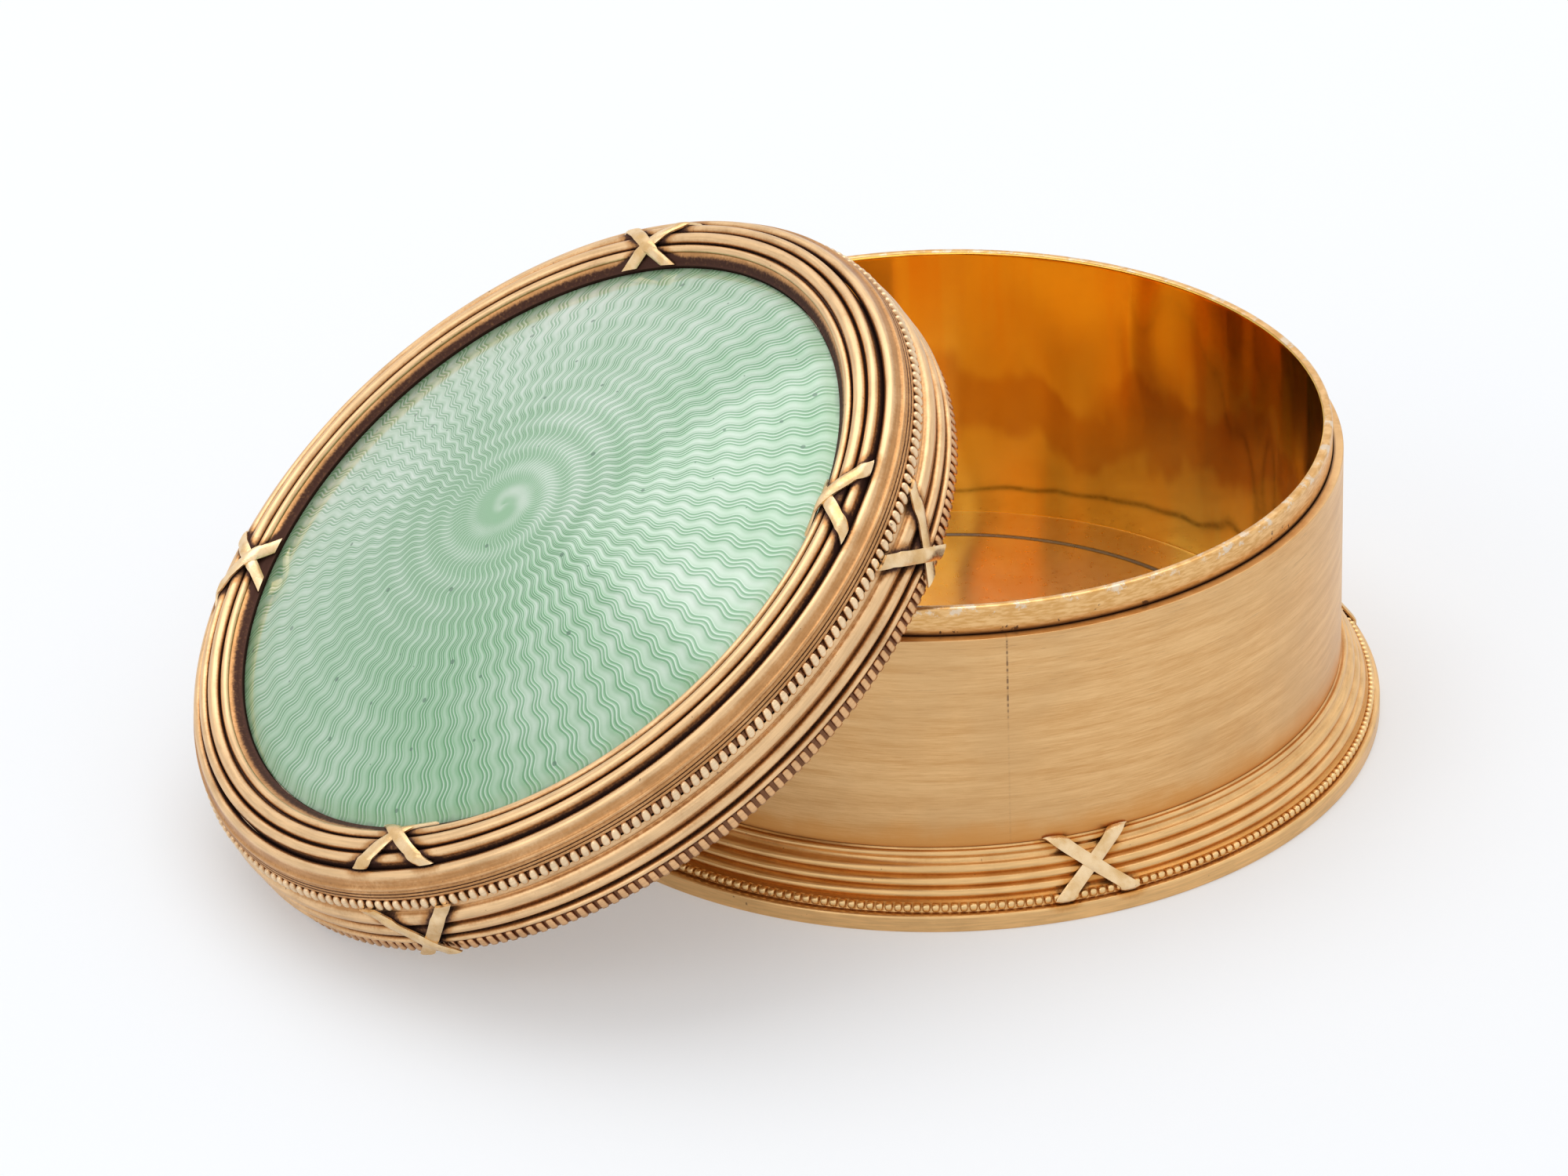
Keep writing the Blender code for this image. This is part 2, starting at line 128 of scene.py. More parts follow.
# The top ring's reeds: distance outside the enamel's edge, height over it and size of each
TOP_REEDS = (
    (0.8 * MM, 0.56 * MM, 0.22 * MM),
    (1.44 * MM, 0.57 * MM, 0.33 * MM),
    (2.11 * MM, 0.44 * MM, 0.27 * MM),
)

# The side band's reeds: height over the lid's lower edge and half height of each
SIDE_REEDS = ((0.98 * MM, 0.19 * MM), (1.64 * MM, 0.32 * MM), (2.56 * MM, 0.42 * MM))
BAND_CORE = band.inner + 0.2 * MM

TORUS = (0.28 * MM, 1.02 * MM, 0.30 * MM)  # its crest's distance from the inner edge, height and size
DOME_STEPS = 60
RING_GROOVE = 16.75 * MM  # the radius of the ring cut in the box's floor
COVE = 0.6 * MM  # the rounding between the box's floor and its wall
GUILLOCHE_RAYS = 81
RAY_LINES = 5  # line places in each ray, of which three are cut
WAVE_LENGTH = 1.57  # in millimetres, from crest to crest outwards
WAVE_SWING = 0.13  # in millimetres, to each side

# The ribbons: width and thickness, how far they stand off the reeds, and the upper one's hump
FOOT_RIBBON = 1.0 * MM
LID_RIBBON = 0.95 * MM
RIBBON_THICKNESS = 0.17 * MM
RIBBON_LIFTS = (0.03 * MM, 0.05 * MM)
RIBBON_HUMP = 0.1 * MM
RIBBON_SECTION = 6  # steps across a ribbon
TIE_SHADE_AND_DIRT_REACH = 0.55 * MM

# How openness is measured: rays from each point of a profile, how far to each side, and how far out
OPEN_RAYS = 21
OPEN_SPREAD = math.radians(82)
OPEN_REACH = 1.3 * MM
OPEN_START = 0.004 * MM

FOOT_TIE_ANGLE = math.radians(-71.0)
LID_TIE_ANGLE = math.radians(37.0)
SEAM_ANGLE = math.radians(278.5)

# ---------------------------------------------------------------- shader nodes


class Shader:
    """A Principled material and short ways to build what feeds it."""

    def __init__(self, name, **constants):
        self.material = bpy.data.materials.new(name)
        self.material.use_nodes = True
        self.tree = self.material.node_tree
        self.surface = self.tree.nodes["Principled BSDF"]
        for socket, value in constants.items():
            self.surface.inputs[socket.replace("_", " ")].default_value = value
        self.material.diffuse_color = self.surface.inputs["Base Color"].default_value

    def node(self, kind, **settings):
        made = self.tree.nodes.new(kind)
        for setting, value in settings.items():
            setattr(made, setting, value)
        return made

    def put(self, socket, value):
        if isinstance(value, bpy.types.NodeSocket):
            self.tree.links.new(value, socket)
        else:
            socket.default_value = value

    def math(self, operation, *values, clamp=False):
        made = self.node("ShaderNodeMath", operation=operation, use_clamp=clamp)
        for socket, value in zip(made.inputs, values):
            self.put(socket, value)
        return made.outputs[0]

    def between(self, value, low, high, to_low=0.0, to_high=1.0):
        """Value eased from one range to another."""
        made = self.node("ShaderNodeMapRange", interpolation_type="SMOOTHSTEP")
        for socket, given in zip(made.inputs, (value, low, high, to_low, to_high)):
            self.put(socket, given)
        return made.outputs[0]

    def mix(self, share, first, second, blend="MIX"):
        made = self.node("ShaderNodeMix", data_type="RGBA", blend_type=blend)
        self.put(made.inputs[0], share)
        self.put(made.inputs[6], (*first, 1.0) if isinstance(first, tuple) else first)
        self.put(made.inputs[7], (*second, 1.0) if isinstance(second, tuple) else second)
        return made.outputs[2]

    def place(self):
        """The point in the piece's own frame, in millimetres, as x, y and z."""
        coordinates = self.node("ShaderNodeTexCoord").outputs["Object"]
        scaled = self.node("ShaderNodeVectorMath", operation="SCALE")
        self.put(scaled.inputs[0], coordinates)
        scaled.inputs["Scale"].default_value = 1 / MM
        split = self.node("ShaderNodeSeparateXYZ")
        self.put(split.inputs[0], scaled.outputs[0])
        return split.outputs

    def vector(self, x, y, z):
        made = self.node("ShaderNodeCombineXYZ")
        for socket, value in zip(made.inputs, (x, y, z)):
            self.put(socket, value)
        return made.outputs[0]

    def noise(self, vector, scale, detail=3.0, roughness=0.55):
        made = self.node("ShaderNodeTexNoise")
        self.put(made.inputs["Vector"], vector)
        made.inputs["Scale"].default_value = scale
        made.inputs["Detail"].default_value = detail
        made.inputs["Roughness"].default_value = roughness
        return made.outputs[0]

    def times(self, one, two):
        return self.math("MULTIPLY", one, two)

    def plus(self, one, two):
        return self.math("ADD", one, two)

    def minus(self, one, two):
        return self.math("SUBTRACT", one, two)

    def streaks(self, x, y, along, squeeze, scale, detail, roughness=0.55):
        """Noise drawn out round the piece: it changes fast only along the third value."""
        vector = self.vector(self.times(x, squeeze), self.times(y, squeeze), along)
        return self.noise(vector, scale, detail, roughness)

    def radius(self, x, y):
        return self.math("SQRT", self.plus(self.times(x, x), self.times(y, y)))

    def centred(self, value):
        return self.minus(value, 0.5)

    def attribute(self, name):
        return self.node("ShaderNodeAttribute", attribute_name=name).outputs["Fac"]

    def bump(self, height, distance, strength):
        made = self.node("ShaderNodeBump")
        made.inputs["Strength"].default_value = strength
        made.inputs["Distance"].default_value = distance
        self.put(made.inputs["Height"], height)
        return made.outputs[0]

    def set(self, **values):
        for socket, value in values.items():
            self.put(self.surface.inputs[socket.replace("_", " ")], value)
        return self.material


# ---------------------------------------------------------------- materials

PALE_GOLD = (0.80, 0.53, 0.285)
WARM_GOLD = (0.52, 0.26, 0.10)
GRIME_AND_SHADE = (0.075, 0.035, 0.026)
BROWN = (0.17, 0.07, 0.025)
SILVER = (0.74, 0.68, 0.58)
SATIN = 0.34  # the roughness of the satin gold


def satin_gold(name, pale=PALE_GOLD, warm=WARM_GOLD, shade_and_grime_level=0.66, brushing=0.5, shade_and_grime_colour=GRIME_AND_SHADE):
    """Worn satin gold, with painted shade that follows how open each point is: pale on the crests, warmer
    lower down and nearly black in the grooves, where patina lies as well.
    """
    s = Shader(name, Base_Color=(*pale, 1.0), Metallic=1.0, Roughness=SATIN)
    x, y, z = s.place()
    point = s.vector(x, y, z)
    streaks = s.streaks(x, y, s.attribute("along"), 0.06, 9.0, 4.0)
    cloud = s.noise(point, 0.55, 4.0)
    grain = s.noise(point, 7.0, 3.0)
    ragged = s.math("MULTIPLY_ADD", s.centred(grain), 0.3, s.attribute("open"))
    # Painted shade from the openness, with patina: warmer where less open, and dark in the grooves
    warmth = s.between(s.math("MULTIPLY_ADD", s.centred(cloud), 0.4, ragged), 1.0, shade_and_grime_level - 0.06)
    shade_and_grime = s.between(ragged, shade_and_grime_level, shade_and_grime_level - 0.3)
    colour = s.mix(warmth, pale, warm)
    shade = s.math("MULTIPLY_ADD", streaks, 0.7, s.times(cloud, 0.3))
    shade = s.between(shade, 0.3, 0.7, 0.82, 1.08)
    colour = s.mix(1.0, colour, s.vector(shade, shade, shade), "MULTIPLY")
    pits = s.between(s.noise(point, 3.2, 2.0), 0.73, 0.78)
    colour = s.mix(s.times(pits, 0.6), colour, GRIME_AND_SHADE)
    colour = s.mix(shade_and_grime, colour, shade_and_grime_colour)
    roughness = s.math("MULTIPLY_ADD", streaks, 0.16, SATIN - 0.08)
    roughness = s.math("MULTIPLY_ADD", shade_and_grime, 0.3, roughness)
    height = s.math("MULTIPLY_ADD", streaks, brushing, s.times(grain, 0.12))
    height = s.minus(height, s.times(pits, 0.6))
    return s.set(Base_Color=colour, Roughness=roughness, Normal=s.bump(height, 0.012 * MM, 0.7))


def wall_seam(s, x, y, z):
    """How strongly the solder seam shows: a line up the wall, broken into dots that fade downwards."""
    across = s.times(y, math.cos(SEAM_ANGLE))
    across = s.plus(s.times(x, -math.sin(SEAM_ANGLE)), across)
    front = s.math("GREATER_THAN", s.times(y, -1.0), 0.0)
    line = s.times(s.between(s.math("ABSOLUTE", across), 0.07, 0.02), front)
    dots = s.between(s.noise(s.vector(0.0, 0.0, z), 3.1, 1.0), 0.44, 0.56, 0.25, 1.0)
    fade = s.between(z, wall.high / MM - 5.2, wall.high / MM - 3.4, 0.12, 0.95)
    return s.times(s.times(line, dots), fade)


def wall_gold():
    """The body's brushed wall, with the dotted line of its solder seam."""
    s = Shader("brushed_wall_gold", Base_Color=(0.8, 0.54, 0.27, 1.0), Metallic=1.0, Roughness=0.36)
    x, y, z = s.place()
    point = s.vector(x, y, z)
    low, high = wall.low / MM, wall.high / MM
    fine = s.streaks(x, y, z, 0.05, 14.0, 6.0, 0.75)
    broad = s.streaks(x, y, z, 0.05, 2.2, 3.0)
    tone = s.plus(s.times(fine, 0.6), s.times(broad, 0.4))
    tone = s.between(tone, 0.34, 0.66)
    colour = s.mix(tone, (0.63, 0.345, 0.13), (0.81, 0.515, 0.24))
    cloud = s.noise(point, 0.16, 3.0)
    colour = s.mix(s.between(cloud, 0.4, 0.68, 0.0, 0.45), colour, (0.60, 0.37, 0.17))
    scratch = s.streaks(x, y, z, 0.06, 9.0, 4.0, 0.6)
    scratch = s.plus(scratch, s.between(z, low + 3.0, high, 0.0, 0.06))
    colour = s.mix(s.between(scratch, 0.66, 0.74, 0.0, 0.25), colour, (0.30, 0.16, 0.07))
    uneven = s.math("MULTIPLY_ADD", s.noise(point, 0.5, 4.0), 1.6, z)
    low_edge = s.between(uneven, low + 2.6, low + 0.9)
    colour = s.mix(s.times(low_edge, 0.8), colour, (0.66, 0.30, 0.075))
    seam = wall_seam(s, x, y, z)
    colour = s.mix(s.times(seam, 0.85), colour, (0.16, 0.09, 0.055))
    # Painted shade where the wall is closed in by the foot and the rim, from its openness
    edge = s.between(s.attribute("open"), 0.55, 0.2)
    colour = s.mix(s.times(edge, 0.8), colour, (0.16, 0.07, 0.03))
    height = s.minus(fine, seam)
    rough = s.math("MULTIPLY_ADD", fine, 0.2, 0.29)
    return s.set(Base_Color=colour, Roughness=rough, Normal=s.bump(height, 0.005 * MM, 0.4))


def mirror_gilt(s, x, y, z):
    """The colour of the gilt inside: stained, with a ragged darker belt half way up and streaks down it."""
    stain = s.noise(s.vector(x, y, s.times(z, 0.5)), 0.35, 4.0, 0.6)
    gilt = s.mix(s.between(stain, 0.45, 0.75, 0.0, 0.4), (1.0, 0.61, 0.10), (1.0, 0.50, 0.06))
    belt = s.noise(s.vector(x, y, s.times(z, 0.5)), 0.16, 3.0)
    belt = s.math("MULTIPLY_ADD", s.centred(belt), 14.0, z)
    belt = s.math("ABSOLUTE", s.minus(belt, liner.high / MM * 0.45))
    gilt = s.mix(s.between(belt, 2.8, 1.2, 0.0, 0.5), gilt, (0.62, 0.18, 0.02))
    streak = s.noise(s.vector(x, y, s.times(z, 0.1)), 0.5, 3.0)
    return s.mix(s.between(streak, 0.5, 0.66, 0.0, 0.3), gilt, (1.0, 0.40, 0.03))


def worn_rim(s, point, z, fine):
    """The colour of the rim outside: rubbed through to silver near its top, specked and dirty low down."""
    top, ledge = liner.high / MM, wall.high / MM
    outer = s.mix(s.between(fine, 0.35, 0.65), (0.66, 0.36, 0.12), (0.83, 0.52, 0.23))
    near_top = s.between(z, top - 1.0, top - 0.1, -0.12, 0.09)
    worn = s.between(s.plus(s.noise(point, 0.9, 6.0, 0.75), near_top), 0.61, 0.69)
    outer = s.mix(s.times(worn, 0.62), outer, SILVER)
    low = s.between(z, ledge + 0.75, ledge + 0.1, 0.0, 0.1)
    specks = s.between(s.plus(s.noise(point, 1.5, 4.0, 0.7), low), 0.69, 0.74)
    outer = s.mix(s.times(specks, 0.9), outer, (0.07, 0.05, 0.045))
    return s.mix(s.between(z, ledge + 0.28, ledge + 0.02), outer, (0.15, 0.075, 0.04))


def rim_gold():
    """The liner: mirror gilt inside, and a worn rim outside."""
    s = Shader("rim_and_liner_gilt", Base_Color=(0.93, 0.56, 0.15, 1.0), Metallic=1.0, Roughness=0.14)
    x, y, z = s.place()
    point = s.vector(x, y, z)
    inner, top = liner.inner / MM, liner.high / MM
    outside = s.between(s.radius(x, y), inner + 0.12, inner + 0.3)
    outside = s.math("MAXIMUM", outside, s.between(z, top - 0.1, top - 0.02))
    fine = s.streaks(x, y, z, 0.2, 8.0, 4.0)
    colour = s.mix(outside, mirror_gilt(s, x, y, z), worn_rim(s, point, z, fine))
    grain = s.noise(point, 2.2, 5.0, 0.7)
    rough = s.math("MULTIPLY_ADD", outside, 0.2, s.between(grain, 0.3, 0.8, 0.11, 0.17))
    ripple = s.noise(s.vector(x, y, s.times(z, 0.35)), 0.2, 1.0)
    ripple = s.times(ripple, s.minus(1.0, outside))
    height = s.math("MULTIPLY_ADD", s.times(fine, outside), 0.01, ripple)
    return s.set(Base_Color=colour, Roughness=rough, Normal=s.bump(height, 0.5 * MM, 1.0))


def dull_gilt(name, ring_height):
    """The gilt of the box's floor and the lid's ceiling. Dirt lies in a ring above the given height."""
    s = Shader(name, Base_Color=(0.93, 0.75, 0.52, 1.0), Metallic=1.0, Roughness=0.3)
    x, y, z = s.place()
    point = s.vector(x, y, z)
    cloud = s.noise(point, 0.3, 3.0)
    grain = s.noise(point, 3.0, 5.0, 0.7)
    colour = s.mix(s.between(cloud, 0.35, 0.7), (0.96, 0.80, 0.58), (0.88, 0.68, 0.44))
    off_ring = s.math("ABSOLUTE", s.minus(s.radius(x, y), RING_GROOVE / MM))
    above = s.math("GREATER_THAN", z, ring_height / MM)
    ring = s.times(s.between(off_ring, 0.26, 0.12, 0.0, 0.85), above)
    colour = s.mix(ring, colour, (0.13, 0.11, 0.09))
    rough = s.between(grain, 0.3, 0.8, 0.27, 0.34)
    return s.set(Base_Color=colour, Roughness=rough, Normal=s.bump(cloud, 0.04 * MM, 0.4))


def ribbon_gold():
    """The ties: paler than the rest, with a few smoky patches and scratches."""
    s = Shader("ribbon_gold", Base_Color=(0.86, 0.64, 0.38, 1.0), Metallic=1.0, Roughness=0.33)
    x, y, z = s.place()
    point = s.vector(x, y, z)
    cloud = s.noise(point, 0.9, 4.0)
    grain = s.noise(point, 8.0, 3.0)
    colour = s.mix(s.between(cloud, 0.35, 0.7), (0.88, 0.66, 0.40), (0.70, 0.45, 0.20))
    smoke = s.between(s.noise(point, 1.7, 5.0, 0.7), 0.66, 0.74)
    colour = s.mix(s.times(smoke, 0.6), colour, (0.25, 0.13, 0.07))
    # Painted shade, with some soiling, along the ribbons' lower edges where they lie on the mouldings
    colour = s.mix(s.between(s.attribute("open"), 0.5, 0.1), colour, GRIME_AND_SHADE)
    height = s.math("MULTIPLY_ADD", cloud, 2.0, grain)
    rough = s.between(grain, 0.3, 0.7, 0.26, 0.4)
    return s.set(Base_Color=colour, Roughness=rough, Normal=s.bump(height, 0.012 * MM, 0.6))


class Guilloche:
    """Engine-turned wavy rays that spiral into an eye, as values over the lid's top."""

    def __init__(self, s, x, y):
        self.radius = s.math("MAXIMUM", s.radius(x, y), 0.05)
        angle = s.math("ARCTAN2", y, x)
        self.wave = s.plus(s.times(self.radius, math.tau / WAVE_LENGTH), angle)
        swing = s.times(s.math("COSINE", self.wave), WAVE_SWING)
        turn = s.minus(angle, s.math("DIVIDE", swing, self.radius))
        place_in_ray = s.math("FRACT", s.times(turn, GUILLOCHE_RAYS / math.tau))
        self.across = s.centred(place_in_ray)
        self.off_middle = s.math("ABSOLUTE", self.across)
        # Three cut lines in the middle of each ray, and a plain band between one ray's and the next's
        self.in_group = s.between(self.off_middle, 0.31, 0.27)
        comb = s.math("COSINE", s.times(self.across, math.tau * RAY_LINES))
        self.line = s.times(s.between(comb, -0.1, 0.8), self.in_group)
        self.fade_in = s.between(self.radius, 0.4, 2.6)


def enamel_tone(s, x, y, point, mottle, guilloche):
    """How light the enamel is painted, from 0 to 1, apart from the rays themselves: painted sheen and shade
    off the engraving, over a mottled tone.
    """
    radius = guilloche.radius
    # Painted sheen: rings of light and shade where the waves' flanks catch the light, strongest near the
    # eye
    slope = s.math("SINE", s.plus(guilloche.wave, 0.9))
    rings = s.times(slope, s.between(radius, 1.0, 11.0, 0.24, 0.06))
    # Painted shade: the engraving is painted as throwing back less light on the side of the lid's lowest
    # point, and round the eye
    painted_light = s.math("MULTIPLY_ADD", s.math("MAXIMUM", x, 0.0), -0.017, s.times(y, -0.001))
    painted_light = s.plus(painted_light, s.between(radius, 1.0, 11.0, -0.16, 0.0))
    # Painted shade makes one side beside the eye darker, and a broad streak that runs down from it is
    # darker too
    side = s.math("DIVIDE", s.minus(x, y), s.times(radius, math.sqrt(2)))
    painted_light = s.minus(painted_light, s.times(side, s.between(radius, 3.0, 11.0, 0.15, 0.0)))
    down = s.plus(s.times(x, 0.34), s.times(y, 0.94))
    streak = s.between(s.math("DIVIDE", down, radius), 0.55, 1.0, 0.0, 0.16)
    painted_light = s.minus(painted_light, s.times(streak, s.between(radius, 9.0, 15.0, 1.0, 0.0)))
    cloud = s.noise(point, 0.14, 3.0)
    tone = s.plus(s.math("MULTIPLY_ADD", cloud, 0.9, 0.02), s.plus(rings, painted_light))
    tone = s.math("MULTIPLY_ADD", s.centred(mottle), 0.3, tone)
    return s.between(tone, 0.0, 1.0)


def draw_rays(s, colour, guilloche):
    """Darkens the groups of cut lines and the lines in them, and paints highlights on the bands and edges
    between.
    """
    radius, fade_in = guilloche.radius, guilloche.fade_in
    group = s.between(guilloche.off_middle, 0.42, 0.2)
    group = s.times(group, s.between(radius, 2.0, 12.0, 0.85, 0.7))
    colour = s.mix(s.times(group, fade_in), colour, (0.70, 0.85, 0.73), "MULTIPLY")
    # Painted highlight: the plain bands between the rays are lighter, most near the eye
    crest = s.between(guilloche.off_middle, 0.36, 0.48)
    crest = s.times(crest, s.between(radius, 4.0, 14.0, 0.45, 0.12))
    colour = s.mix(s.times(crest, fade_in), colour, (0.78, 0.86, 0.80))
    colour = s.mix(s.times(guilloche.line, fade_in), colour, (0.50, 0.71, 0.56), "MULTIPLY")
    # Painted highlight beside each cut line
    beside = s.minus(guilloche.across, 0.085)
    painted_highlight = s.math("COSINE", s.times(beside, math.tau * RAY_LINES))
    painted_highlight = s.times(s.between(painted_highlight, 0.5, 1.0, 0.0, 0.5), guilloche.in_group)
    return s.mix(s.times(painted_highlight, fade_in), colour, (0.80, 0.88, 0.82))


def specks(s, point):
    """Small dark bubbles, in some of the cells of a scattered grid."""
    cells = s.node("ShaderNodeTexVoronoi", feature="F1", voronoi_dimensions="2D")
    s.put(cells.inputs["Vector"], point)
    cells.inputs["Scale"].default_value = 0.42
    chance = s.node("ShaderNodeSeparateColor")
    s.put(chance.inputs[0], cells.outputs["Color"])
    size = s.between(chance.outputs[0], 0.5, 1.0, 0.01, 0.055)
    speck = s.between(s.minus(cells.outputs["Distance"], size), 0.01, -0.01)
    return s.times(speck, s.math("GREATER_THAN", chance.outputs[0], 0.6))


def green_enamel():
    """Clear green enamel over the guilloche, darker towards its rim, with specks in it."""
    s = Shader(
        "green_enamel",
        Base_Color=(0.40, 0.62, 0.44, 1.0),
        Metallic=0.3,
        Roughness=0.38,
        Coat_Weight=1.0,
        Coat_Roughness=0.06,
        Coat_IOR=1.5,
    )
    x, y, z = s.place()
    point = s.vector(x, y, z)
    guilloche = Guilloche(s, x, y)
    mottle = s.noise(point, 1.1, 4.0, 0.7)
    tone = enamel_tone(s, x, y, point, mottle, guilloche)
    colour = s.mix(tone, (0.24, 0.45, 0.26), (0.62, 0.70, 0.62))
    colour = draw_rays(s, colour, guilloche)
    ragged = s.math("MULTIPLY_ADD", s.noise(point, 0.9, 4.0), 0.9, guilloche.radius)
    edge = enamel.outer / MM
    colour = s.mix(s.between(ragged, edge - 0.6, edge + 0.2, 0.0, 0.4), colour, (0.20, 0.36, 0.16))
    colour = s.mix(s.between(ragged, edge + 0.2, edge + 0.6, 0.0, 0.6), colour, (0.05, 0.085, 0.045))
    colour = s.mix(s.times(specks(s, point), 0.75), colour, (0.06, 0.15, 0.09))
    # The light catches the waves' flanks and the cut lines' edges
    flank = s.math("COSINE", s.times(guilloche.across, math.tau))
    height = s.math("MULTIPLY_ADD", flank, 0.6, s.times(guilloche.line, -0.6))
    height = s.times(height, s.between(guilloche.radius, 1.0, 7.0))
    rough = s.between(mottle, 0.3, 0.75, 0.32, 0.46)
    return s.set(Base_Color=colour, Roughness=rough, Normal=s.bump(height, 0.035 * MM, 0.6))


def engraved_silver():
    """The silver plate under the enamel, engine turned in rays, with stains where the enamel gripped it."""
    s = Shader("engraved_silver", Base_Color=(0.8, 0.82, 0.78, 1.0), Metallic=1.0, Roughness=0.28)
    x, y, z = s.place()
    point = s.vector(x, y, z)
    centre = LID.translation / MM
    out = s.minus(x, centre.x)
    up = s.minus(y, centre.y)
    turn = s.times(s.math("ARCTAN2", up, out), GUILLOCHE_RAYS)
    cut = s.between(s.math("COSINE", turn), -0.2, 0.7)
    cloud = s.noise(point, 0.4, 4.0)
    grain = s.noise(point, 5.0, 3.0)
    colour = s.mix(s.between(cloud, 0.35, 0.7), (0.82, 0.84, 0.80), (0.66, 0.68, 0.62))
    colour = s.mix(s.times(cut, 0.4), colour, (0.42, 0.46, 0.42))
    height = s.math("MULTIPLY_ADD", cut, -1.0, s.times(grain, 0.2))
    rough = s.between(grain, 0.3, 0.7, 0.22, 0.36)
    return s.set(Base_Color=colour, Roughness=rough, Normal=s.bump(height, 0.02 * MM, 0.6))


# ---------------------------------------------------------------- meshes


def finish_piece(mesh, name, material, body, node, sharp=38.0):
    """Makes the mesh a piece that stands for a CAD node and moves with its body."""
    mesh.materials.append(material)
    mesh.shade_smooth()
    mesh.set_sharp_from_angle(angle=math.radians(sharp))
    piece = bpy.data.objects.new(name, mesh)
    bpy.context.scene.collection.objects.link(piece)
    piece.matrix_world = PLACES[body]
    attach(piece, body)
    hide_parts(node)
    return piece


def arc(centre_radius, centre_height, size, start, end, steps=12, up=None):
    """Points on an arc of a profile, from one angle in degrees to another. Up makes it an ellipse's."""
    tall = size if up is None else up
    angles = [math.radians(start + (end - start) * step / steps) for step in range(steps + 1)]
    return [(centre_radius + size * math.cos(a), centre_height + tall * math.sin(a)) for a in angles]


def evened(profile, longest):
    """The closed profile with each side cut into short steps."""
    points = []
    for (r0, z0), (r1, z1) in zip(profile, profile[1:] + profile[:1]):
        steps = max(1, math.ceil(math.hypot(r1 - r0, z1 - z0) / longest))
        points += [(r0 + (r1 - r0) * i / steps, z0 + (z1 - z0) * i / steps) for i in range(steps)]
    return points


def sides_of(profile):
    return list(zip(profile, profile[1:] + profile[:1]))


def clear_distance(origins, rays, starts, spans):
    """How far each ray goes before it meets a wall line, up to the reach."""
    gap = starts[None] - origins[:, None]
    cross = rays[:, None, 0] * spans[None, :, 1] - rays[:, None, 1] * spans[None, :, 0]
    cross = np.where(np.abs(cross) < 1e-15, 1e-15, cross)
    t = (gap[..., 0] * spans[None, :, 1] - gap[..., 1] * spans[None, :, 0]) / cross
    u = (gap[..., 0] * rays[:, None, 1] - gap[..., 1] * rays[:, None, 0]) / cross
    hits = np.where((t > 0) & (u >= 0) & (u <= 1), t, OPEN_REACH)
    return np.minimum(hits.min(axis=1), OPEN_REACH)


def openness(points, walls):
    """For each profile point, how much of the space in front of it is clear of the walls, from 0 to 1."""
    p = np.array(points)
    ahead = np.roll(p, -1, axis=0) - np.roll(p, 1, axis=0)
    facing = np.stack([ahead[:, 1], -ahead[:, 0]], axis=1)
    facing /= np.maximum(np.linalg.norm(facing, axis=1, keepdims=True), 1e-12)
    origins = p + facing * OPEN_START
    starts = np.array([line[0] for line in walls])
    spans = np.array([line[1] for line in walls]) - starts
    total = np.zeros(len(p))
    weights = 0.0
    for angle in np.linspace(-OPEN_SPREAD, OPEN_SPREAD, OPEN_RAYS):
        cos, sin = math.cos(angle), math.sin(angle)
        x = facing[:, 0] * cos - facing[:, 1] * sin
        y = facing[:, 0] * sin + facing[:, 1] * cos
        rays = np.stack([x, y], axis=1)
        total += cos * clear_distance(origins, rays, starts, spans) / OPEN_REACH
        weights += cos
    return total / weights


def point_values(mesh, name, values):
    mesh.attributes.new(name, "FLOAT", "POINT").data.foreach_set("value", np.asarray(values, np.float32))


class Turned:
    """A turned piece: a closed profile of (radius, height) points, anticlockwise, so that it faces out."""

    def __init__(self, name, profile, material, body, node, turns=TURNS, step=0.12 * MM, shade_and_grime_spots=()):
        self.name, self.material, self.body, self.node = name, material, body, node
        self.turns = turns
        self.shade_and_grime_spots = shade_and_grime_spots
        self.profile = evened(profile, step)

    def open_values(self, neighbours):
        """How open each profile point is, less at the spots given for painted shade and soiling."""
        walls = [side for piece in neighbours for side in sides_of(piece.profile)]
        values = openness(self.profile, walls)
        for centre, reach, amount in self.shade_and_grime_spots:
            away = np.hypot(*(np.array(self.profile) - centre).T)
            values *= 1 - amount * np.clip(1.6 - 1.6 * away / reach, 0, 1)
        return values

    def points(self):
        angles = np.linspace(0, math.tau, self.turns, endpoint=False)
        radii, heights = np.array(self.profile).T
        x = np.outer(np.cos(angles), radii)
        y = np.outer(np.sin(angles), radii)
        return np.stack([x, y, np.broadcast_to(heights, x.shape)], axis=-1).reshape(-1, 3)

    def faces(self):
        """Quads between each turn and the next, and triangles where the profile meets the axis."""
        on_axis = [radius < 1e-9 for radius, _ in self.profile]
        count = len(on_axis)
        faces = []
        for turn in range(self.turns):
            one, two = turn * count, ((turn + 1) % self.turns) * count
            for i in range(count):
                j = (i + 1) % count
                if on_axis[i] and on_axis[j]:
                    continue
                if on_axis[i]:
                    faces.append((two + j, one + j, i))
                elif on_axis[j]:
                    faces.append((two + i, j, one + i))
                else:
                    faces.append((two + i, two + j, one + j, one + i))
        return faces

    def build(self, neighbours, ties=None):
        lengths = [0.0]
        for one, two in sides_of(self.profile)[:-1]:
            lengths.append(lengths[-1] + math.dist(one, two))
        mesh = bpy.data.meshes.new(self.name)
        mesh.from_pydata(self.points().tolist(), [], self.faces())
        point_values(mesh, "open", np.tile(self.open_values(neighbours), self.turns))
        point_values(mesh, "along", np.tile(lengths, self.turns) / MM)
        if ties is not None:
            darken_near(mesh, ties)
        drop_loose(mesh)
        return finish_piece(mesh, self.name, self.material, self.body, self.node)


